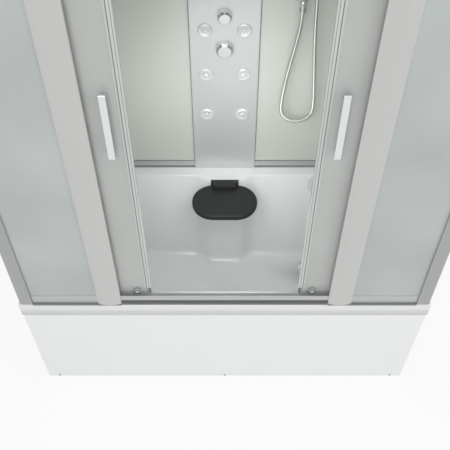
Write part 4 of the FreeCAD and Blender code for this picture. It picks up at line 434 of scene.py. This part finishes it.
hose = bmesh.new()
ribbed_run = hose_run - 2 * HOSE_DIAMETER
count = int(ribbed_run / RIB_PITCH)
distances = [(0.0, RIB_NECK), (PLAIN_END, RIB_NECK)]
for rib in range(count):
    start = HOSE_DIAMETER + rib * ribbed_run / count
    distances += [(start + share * RIB_PITCH, size) for share, size in rib_profile]
distances += [(hose_run - PLAIN_END, RIB_NECK), (hose_run, RIB_NECK)]
rings = [ring(hose, *at_distance(hose_points, distance), HOSE_DIAMETER / 2 * size)
         for distance, size in distances]
for first, second in zip(rings, rings[1:]):
    bmesh.ops.bridge_loops(hose, edges=first + second)
for end in (rings[0], rings[-1]):
    bmesh.ops.contextual_create(hose, geom=end)
bmesh.ops.recalc_face_normals(hose, faces=hose.faces)
hose_mesh = bpy.data.meshes.new("shower_hose_ribbed")
hose.to_mesh(hose_mesh)
hose.free()
hose_mesh.materials.append(finishes["hose_steel"])
hose_mesh.shade_smooth()
hose_piece = bpy.data.objects.new("shower_hose_ribbed", hose_mesh)
bpy.context.scene.collection.objects.link(hose_piece)
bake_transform(hose_piece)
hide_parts("shower_hose")
print("hose of", count, "ribs,", len(hose_mesh.polygons), "faces")

# %% [markdown]
# ## The tray
# The tray is one sheet of white acrylic, drawn over a mould: a rolled lip, a level ledge, leaning walls with
# a soft foot, and a bulge in the back wall behind the seat. A sheet over a mould has no sharp edges, so it is
# built as a stack of round-cornered loops, each extruded from the one before. Then the sheet gets its wall.

# %% The tray's sizes
RIM, FLOOR = 0.550, 0.150
LIP_LOW, LIP_ROUND, RIM_ROUND = 0.484, 0.009, 0.008
HALF_WIDTH, HALF_DEPTH = 0.750, 0.400
LEAST_CORNER = 0.0012
BASIN_HALF, BASIN_NEAR, BASIN_FAR, BASIN_CORNER = 0.690, -0.335, 0.245, 0.060
LEAN_SIDE, LEAN_NEAR, LEAN_FAR, CORNER_GROWTH = 0.080, 0.060, 0.100, 0.035
BULGE_HALF, BULGE_SHOULDER, BULGE_REACH = 0.126, 0.070, 0.036
BACK_CUTS = 80
ON_THE_BACK = 0.999


def basin(share, grow=0.0):
    """Half width, near side, far side and corner of the basin, from its rim (0) down to its floor (1)."""
    return (BASIN_HALF - LEAN_SIDE * share + grow, BASIN_NEAR + LEAN_NEAR * share - grow,
            BASIN_FAR - LEAN_FAR * share + grow, BASIN_CORNER + CORNER_GROWTH * share + grow)


def lip(inset):
    """Half width, near side, far side and corner of the tray's outside, drawn in by an inset."""
    return HALF_WIDTH - inset, inset - HALF_DEPTH, HALF_DEPTH - inset, max(LIP_ROUND - inset, LEAST_CORNER)


def unit_loop(bm):
    """A round-cornered square with a finely divided back. Each vertex keeps its side and its turn."""
    made = bmesh.ops.create_grid(bm, x_segments=1, y_segments=1, size=1)["verts"]
    bmesh.ops.bevel(bm, geom=made, offset=0.5, segments=8, profile=0.5, affect="VERTICES", material=-1)
    back = [edge for edge in bm.edges if all(vertex.co.y > ON_THE_BACK for vertex in edge.verts)]
    bmesh.ops.subdivide_edges(bm, edges=back, cuts=BACK_CUTS)
    bmesh.ops.delete(bm, geom=bm.faces[:], context="FACES_ONLY")
    side_layer = bm.verts.layers.float_vector.new("side")
    turn_layer = bm.verts.layers.float_vector.new("turn")
    for vertex in bm.verts:
        middle = Vector((max(-0.5, min(0.5, vertex.co.x)), max(-0.5, min(0.5, vertex.co.y)), 0))
        vertex[side_layer] = middle * 2
        vertex[turn_layer] = (vertex.co - middle).normalized()
    return side_layer, turn_layer


def set_loop(vertices, layers, half, near, far, corner, level, bulge):
    """Move a loop's vertices onto a rectangle with round corners, whose back side may bulge forwards."""
    for vertex in vertices:
        side, turn = vertex[layers[0]], vertex[layers[1]]
        vertex.co = (side.x * (half - corner) + turn.x * corner,
                     (near + far) / 2 + side.y * ((far - near) / 2 - corner) + turn.y * corner, level)
        if bulge and side.y > 0 and turn.y > ON_THE_BACK:
            share = min(1, max(0, (BULGE_HALF - abs(vertex.co.x)) / BULGE_SHOULDER))
            vertex.co.y -= BULGE_REACH * share * share * (3 - 2 * share)


# %% The tray's loops, from the lip's lower edge over the rim and down to the floor
LIP_STRAIGHT, RIM_FLAT, BASIN_START = 0.004, 0.003, 0.012
KNEE_SHARE, KNEE_LEVEL = 0.91, 0.186
WALL_SHARE, WALL_LEVEL, SOLE_INSET, FLOOR_INSET, SOLE_CORNER = 0.925, 0.180, 0.028, 0.034, 0.080
ROUND_STEPS, FOOT_STEPS = 4, 6
levels = [(lip(0), LIP_LOW, False), (lip(0), RIM - LIP_ROUND - LIP_STRAIGHT, False)]
for step in range(ROUND_STEPS + 1):
    angle = step / ROUND_STEPS * math.pi / 2
    height = RIM - LIP_ROUND + LIP_ROUND * math.sin(angle)
    levels.append((lip(LIP_ROUND * (1 - math.cos(angle))), height, False))
levels += [(lip(LIP_ROUND + RIM_FLAT), RIM, False), (basin(0, RIM_ROUND + RIM_FLAT), RIM, True)]
for step in range(ROUND_STEPS + 1):
    angle = step / ROUND_STEPS * math.pi / 2
    height = RIM - RIM_ROUND * (1 - math.cos(angle))
    levels.append((basin(0, RIM_ROUND * (1 - math.sin(angle))), height, True))
levels += [(basin(0.03), RIM - BASIN_START, True), (basin(0.5), (RIM + FLOOR) / 2, True),
           (basin(KNEE_SHARE), KNEE_LEVEL, True)]
wall = (*basin(WALL_SHARE), WALL_LEVEL)
foot = (*basin(1), FLOOR)
sole = (*basin(1, -SOLE_INSET)[:3], SOLE_CORNER, FLOOR)
for step in range(FOOT_STEPS + 1):
    t = step / FOOT_STEPS
    bent = [(1 - t) ** 2 * a + 2 * t * (1 - t) * b + t * t * c for a, b, c in zip(wall, foot, sole)]
    levels.append((bent[:4], bent[4], True))
levels.append(((*basin(1, -FLOOR_INSET)[:3], SOLE_CORNER), FLOOR, True))
print(len(levels), "loops of the tray")

# %% Extrude from loop to loop, fill the floor round the waste, and give the sheet its wall
WASTE, WASTE_RADIUS, WASTE_SIDES, ACRYLIC = (0.378, 0.050), 0.045, 48, 0.005
tray = bmesh.new()
layers = unit_loop(tray)
loop = tray.edges[:]
shape, level, bulge = levels[0]
set_loop(tray.verts, layers, *shape, level, bulge)
for shape, level, bulge in levels[1:]:
    grown = bmesh.ops.extrude_edge_only(tray, edges=loop)["geom"]
    fresh = {item for item in grown if isinstance(item, bmesh.types.BMVert)}
    loop = [item for item in grown if isinstance(item, bmesh.types.BMEdge) and fresh.issuperset(item.verts)]
    set_loop(fresh, layers, *shape, level, bulge)
drain = bmesh.ops.create_circle(
    tray, segments=WASTE_SIDES, radius=WASTE_RADIUS, matrix=Matrix.Translation((*WASTE, FLOOR)))
drain_edges = list({edge for vertex in drain["verts"] for edge in vertex.link_edges})
bmesh.ops.triangle_fill(tray, use_beauty=True, use_dissolve=False, edges=loop + drain_edges)
bmesh.ops.recalc_face_normals(tray, faces=tray.faces)
deck = max(tray.faces, key=lambda face: face.calc_center_median().z)
if deck.normal.z < 0:
    bmesh.ops.reverse_faces(tray, faces=tray.faces)
tray_piece = piece("tray_moulding", tray, "cabin", "tray_acrylic", ["tray"])
wall_modifier = tray_piece.modifiers.new("acrylic_wall", "SOLIDIFY")
wall_modifier.thickness = ACRYLIC
wall_modifier.offset = -1
wall_modifier.use_even_offset = True

# %% [markdown]
# ## Seals and painted shadow lines
# The dark lines round the aluminium are rubber strips, drawn dark and wide so that they also fill the shadow
# gaps there: painted shade. They are a drip seal in the doorway under the sill with a dark liner on its top,
# a bead under the fixed panes, and beads where the back panels meet the rail and the column. They are thin
# strips, so each is an outline of a few points that follows the tray's rounded edge, extruded along its
# profile.

# %% Rubber and painted shadow along the sill: outlines as (y, z)
DOORWAY_HALF, POST_INSIDE, END_GAP = 0.3725, 0.6940, 0.0008
# The drip seal is drawn dark and deep enough to fill the shadow gap under the sill's face, and the pane bead
# draws the shadow line under the fixed panes: real seals, with painted shade.
drip_seal_and_shadow = [(-0.3812, 0.5504), (-0.3812, 0.5525), (-0.3900, 0.5526), (-0.3950, 0.5512), (-0.3972, 0.5484),
             (-0.3962, 0.5480), (-0.3915, 0.5502)]
pane_bead_and_shadow = [(-0.3912, 0.5500), (-0.3912, 0.5512), (-0.3945, 0.5511), (-0.3978, 0.5489), (-0.3988, 0.5465),
             (-0.3980, 0.5460)]
# The liner is a thin dark sheet on the sill's top, where only the groove's shadow falls: painted shadow.
sill_shadow_liner = [(-0.3903, 0.5960), (-0.3903, 0.5962), (-0.3785, 0.5962), (-0.3785, 0.5960)]
seals = bmesh.new()
bar(seals, drip_seal_and_shadow, "x", -DOORWAY_HALF, DOORWAY_HALF)
bar(seals, pane_bead_and_shadow, "x", -POST_INSIDE, -DOORWAY_HALF - END_GAP)
bar(seals, pane_bead_and_shadow, "x", DOORWAY_HALF + END_GAP, POST_INSIDE)
bar(seals, sill_shadow_liner, "x", -DOORWAY_HALF, DOORWAY_HALF)
piece("sill_seals_and_shadows", seals, "cabin", "gasket_rubber", smooth=False)

# %% Beads and painted shadow lines along the back rail and the column
RAIL_TOP, RAIL_FACE, PANEL_FACE, COLUMN_HALF = 0.583, 0.298, 0.303, 0.125
SIDE_WALL, RAIL_GAP, COLUMN_GAP, BEAD_WIDTH = 0.690, 0.0006, 0.0002, 0.0014
BEAD_RISE, BEAD_STOP = 0.0025, 0.052
# The top bead draws the shadow line where the back panels meet the rail, and the foot bead is drawn tall to
# fill the shadow gap under the rail: seals with painted shade.
top_bead_and_shadow = [(PANEL_FACE, RAIL_TOP), (PANEL_FACE, RAIL_TOP + BEAD_RISE),
            (PANEL_FACE - 0.0032, RAIL_TOP + 0.0008), (PANEL_FACE - 0.0038, RAIL_TOP)]
foot_bead_and_shadow = [(RAIL_FACE, RIM), (RAIL_FACE, RIM + 0.0085), (RAIL_FACE - 0.0010, RIM + 0.0080),
             (RAIL_FACE - 0.0034, RIM)]
column_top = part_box("column")[1].z
beads = bmesh.new()
for low, high in ((-SIDE_WALL, -COLUMN_HALF - RAIL_GAP), (COLUMN_HALF + RAIL_GAP, SIDE_WALL)):
    bar(beads, top_bead_and_shadow, "x", low, high)
    bar(beads, foot_bead_and_shadow, "x", low, high)
# The dark beads at the column's edges stand for the shadow beside the column, which stands proud of the
# panels: painted shadow.
for side in (-1, 1):
    edge = side * (COLUMN_HALF + COLUMN_GAP)
    outer = edge + side * BEAD_WIDTH
    column_edge_shadow = [(edge, PANEL_FACE - 0.0025), (outer, PANEL_FACE - 0.0005), (outer, PANEL_FACE),
                 (edge, PANEL_FACE)]
    bar(beads, column_edge_shadow, "z", RAIL_TOP + BEAD_RISE, column_top - BEAD_STOP)
piece("panel_beads_and_shadows", beads, "cabin", "gasket_rubber", smooth=False)

# %% [markdown]
# ## Door trim
# Each door closes with a magnetic strip on its leading edge. The strip is pale, but its magnet shows as a
# thin dark line, its soft lip as a darker one on the glass, and a dark plug closes its lower end. These are
# moulded with the strip, so they ride on the door.

# %% Lines and plug of the strips
DOOR_EDGE, PANE_FRONT, STRIP_FRONT = 0.2625, -0.371, -0.3734
STRIP_LOW, STRIP_HIGH, PLUG_TOP, GROOVE_LOW = 0.5805, 2.0408, 0.6210, 0.6215
trims = {
    "lip": (0.0143, 0.0156, PANE_FRONT - 0.0034, PANE_FRONT - 0.0012, STRIP_LOW, STRIP_HIGH),
    "groove": (0.0052, 0.0064, STRIP_FRONT - 0.0004, STRIP_FRONT, GROOVE_LOW, STRIP_HIGH),
    "plug": (0.0001, 0.0106, STRIP_FRONT - 0.0020, STRIP_FRONT, STRIP_LOW, PLUG_TOP),
}
for side, door in ((-1, "door_left"), (1, "door_right")):
    trim = bmesh.new()
    for near, far, front, back, low, high in trims.values():
        inner, outer = side * (DOOR_EDGE + near), side * (DOOR_EDGE + far)
        bar(trim, [(inner, front), (outer, front), (outer, back), (inner, back)], "z", low, high)
    piece(f"{door}_strip_trim", trim, door, "gasket_rubber", smooth=False)

# %% [markdown]
# ## Roller rims with painted shade
# The doors hang and slide on small wheels with pale hubs. A dark ring round each wheel's rim stands for the
# shade on its rounded edge: painted shade. A profile of four points, spun once about the wheel's axle, makes
# it.

# %% A dark ring of painted shade on each wheel
TYRE_DEEP, TYRE_PROUD, TYRE_BEVEL, TYRE_EDGE, TYRE_STEPS = 0.0040, 0.0005, 0.0012, 0.0008, 40
TYRE_BACK = 0.0002
bodies = frame["record"]["behaviour"]["bodies"]
for row in frame["record"]["subparts"]:
    if row["material_slot"] != "wheel_plastic":
        continue
    low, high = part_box(row["node"])
    centre_x, centre_z, radius = (low.x + high.x) / 2, (low.z + high.z) / 2, (high.z - low.z) / 2
    # Each ring is a dark band on the wheel's rounded rim, where it stands for the shade there: painted shade.
    rim_shade = bmesh.new()
    profile = [(radius - TYRE_DEEP, low.y), (radius - TYRE_DEEP, low.y - TYRE_PROUD),
               (radius - TYRE_BEVEL, low.y - TYRE_PROUD), (radius - TYRE_EDGE, low.y + TYRE_BACK)]
    spots = [rim_shade.verts.new((centre_x + reach, depth, centre_z)) for reach, depth in profile]
    chain = [rim_shade.edges.new(pair) for pair in zip(spots, spots[1:] + spots[:1])]
    bmesh.ops.spin(rim_shade, geom=spots + chain, cent=(centre_x, low.y, centre_z), axis=(0, 1, 0),
                   dvec=(0, 0, 0), angle=math.tau, steps=TYRE_STEPS, use_merge=True, use_duplicate=False)
    bmesh.ops.recalc_face_normals(rim_shade, faces=rim_shade.faces)
    body = next(name for name, names in bodies.items() if row["node"] in names)
    # The ring takes the feet's dark plastic as the colour of its painted shade.
    piece(row["node"].replace("door_wheel", "rim_shade"), rim_shade, body, "foot_plastic")

# %% [markdown]
# ## Room and light
# The photograph stands on white with hardly a shadow. The floor takes its white from its own colour and, for
# the camera and for reflections, from a little glow, so the cabin's own light stays plain and even.


# %% Floor and world
WHITE, FLOOR_GREY = (1, 1, 1, 1), (0.9, 0.9, 0.9, 1)
FLOOR_ROUGHNESS, FLOOR_GLOW, FLOOR_HALF = 0.9, 0.85, 12
SKY_LIGHT, SKY_SHOWN = 0.60, 1.0


def backdrop(name, glow):
    """A white studio surface: diffuse for light, brighter for the camera and for reflections."""
    material = bpy.data.materials.new(name)
    material.use_nodes = True
    tree = material.node_tree
    matte = tree.nodes["Principled BSDF"]
    matte.inputs["Base Color"].default_value = FLOOR_GREY
    matte.inputs["Roughness"].default_value = FLOOR_ROUGHNESS
    light_path = add(tree, "ShaderNodeLightPath")
    seen = add(tree, "ShaderNodeMath", operation="MAXIMUM")
    lit = add(tree, "ShaderNodeEmission", values={"Color": WHITE, "Strength": 1.0})
    share = add(tree, "ShaderNodeMath", operation="MULTIPLY", values={1: glow})
    mixed = add(tree, "ShaderNodeMixShader")
    tree.links.new(light_path.outputs["Is Camera Ray"], seen.inputs[0])
    tree.links.new(light_path.outputs["Is Glossy Ray"], seen.inputs[1])
    tree.links.new(seen.outputs[0], share.inputs[0])
    tree.links.new(share.outputs[0], mixed.inputs[0])
    tree.links.new(matte.outputs[0], mixed.inputs[1])
    tree.links.new(lit.outputs[0], mixed.inputs[2])
    tree.links.new(mixed.outputs[0], tree.nodes["Material Output"].inputs["Surface"])
    return material


floor_bm = bmesh.new()
bmesh.ops.create_grid(floor_bm, x_segments=4, y_segments=4, size=FLOOR_HALF)
floor_mesh = bpy.data.meshes.new("studio_floor")
floor_bm.to_mesh(floor_mesh)
floor_bm.free()
floor_mesh.materials.append(backdrop("studio_white", FLOOR_GLOW))
floor = bpy.data.objects.new("studio_floor", floor_mesh)
bpy.context.scene.collection.objects.link(floor)

world = bpy.data.worlds.new("studio")
bpy.context.scene.world = world
world.use_nodes = True
tree = world.node_tree
tree.nodes.clear()
light_path = add(tree, "ShaderNodeLightPath")
seen = add(tree, "ShaderNodeMath", operation="MAXIMUM")
also = add(tree, "ShaderNodeMath", operation="MAXIMUM")
plain_sky = add(tree, "ShaderNodeBackground", values={"Color": WHITE, "Strength": SKY_LIGHT})
shown_sky = add(tree, "ShaderNodeBackground", values={"Color": WHITE, "Strength": SKY_SHOWN})
mixed = add(tree, "ShaderNodeMixShader")
out = add(tree, "ShaderNodeOutputWorld")
tree.links.new(light_path.outputs["Is Camera Ray"], seen.inputs[0])
tree.links.new(light_path.outputs["Is Glossy Ray"], seen.inputs[1])
tree.links.new(seen.outputs[0], also.inputs[0])
tree.links.new(light_path.outputs["Is Transmission Ray"], also.inputs[1])
tree.links.new(also.outputs[0], mixed.inputs[0])
tree.links.new(plain_sky.outputs[0], mixed.inputs[1])
tree.links.new(shown_sky.outputs[0], mixed.inputs[2])
tree.links.new(mixed.outputs[0], out.inputs[0])
print("studio ready")


# %% Lamps
def soft_lamp(name, spot, aim, width, depth, watts, shown=True):
    """A rectangular area lamp at a spot, turned towards a point; one inside the cabin isn't shown itself."""
    data = bpy.data.lights.new(name, "AREA")
    data.shape = "RECTANGLE"
    data.size = width
    data.size_y = depth
    data.energy = watts
    lamp = bpy.data.objects.new(name, data)
    lamp.location = spot
    lamp.rotation_euler = (Vector(aim) - Vector(spot)).to_track_quat("-Z", "Y").to_euler()
    lamp.visible_camera = shown
    bpy.context.scene.collection.objects.link(lamp)
    return lamp


soft_lamp("front_lamp", (-0.7, -3.7, 3.4), (0, 0, 0.9), 2.5, 2.5, 52)
soft_lamp("side_lamp", (3.2, -2.2, 2.6), (0, 0, 1.0), 2.0, 2.0, 26)
soft_lamp("cabin_lamp", (0, -0.30, 1.46), (0, 0.30, 1.40), 1.0, 1.0, 2.3, shown=False)
soft_lamp("doorway_lamp", (0, -0.22, 1.15), (0, 0.10, 0.35), 0.5, 0.3, 2.5, shown=False)
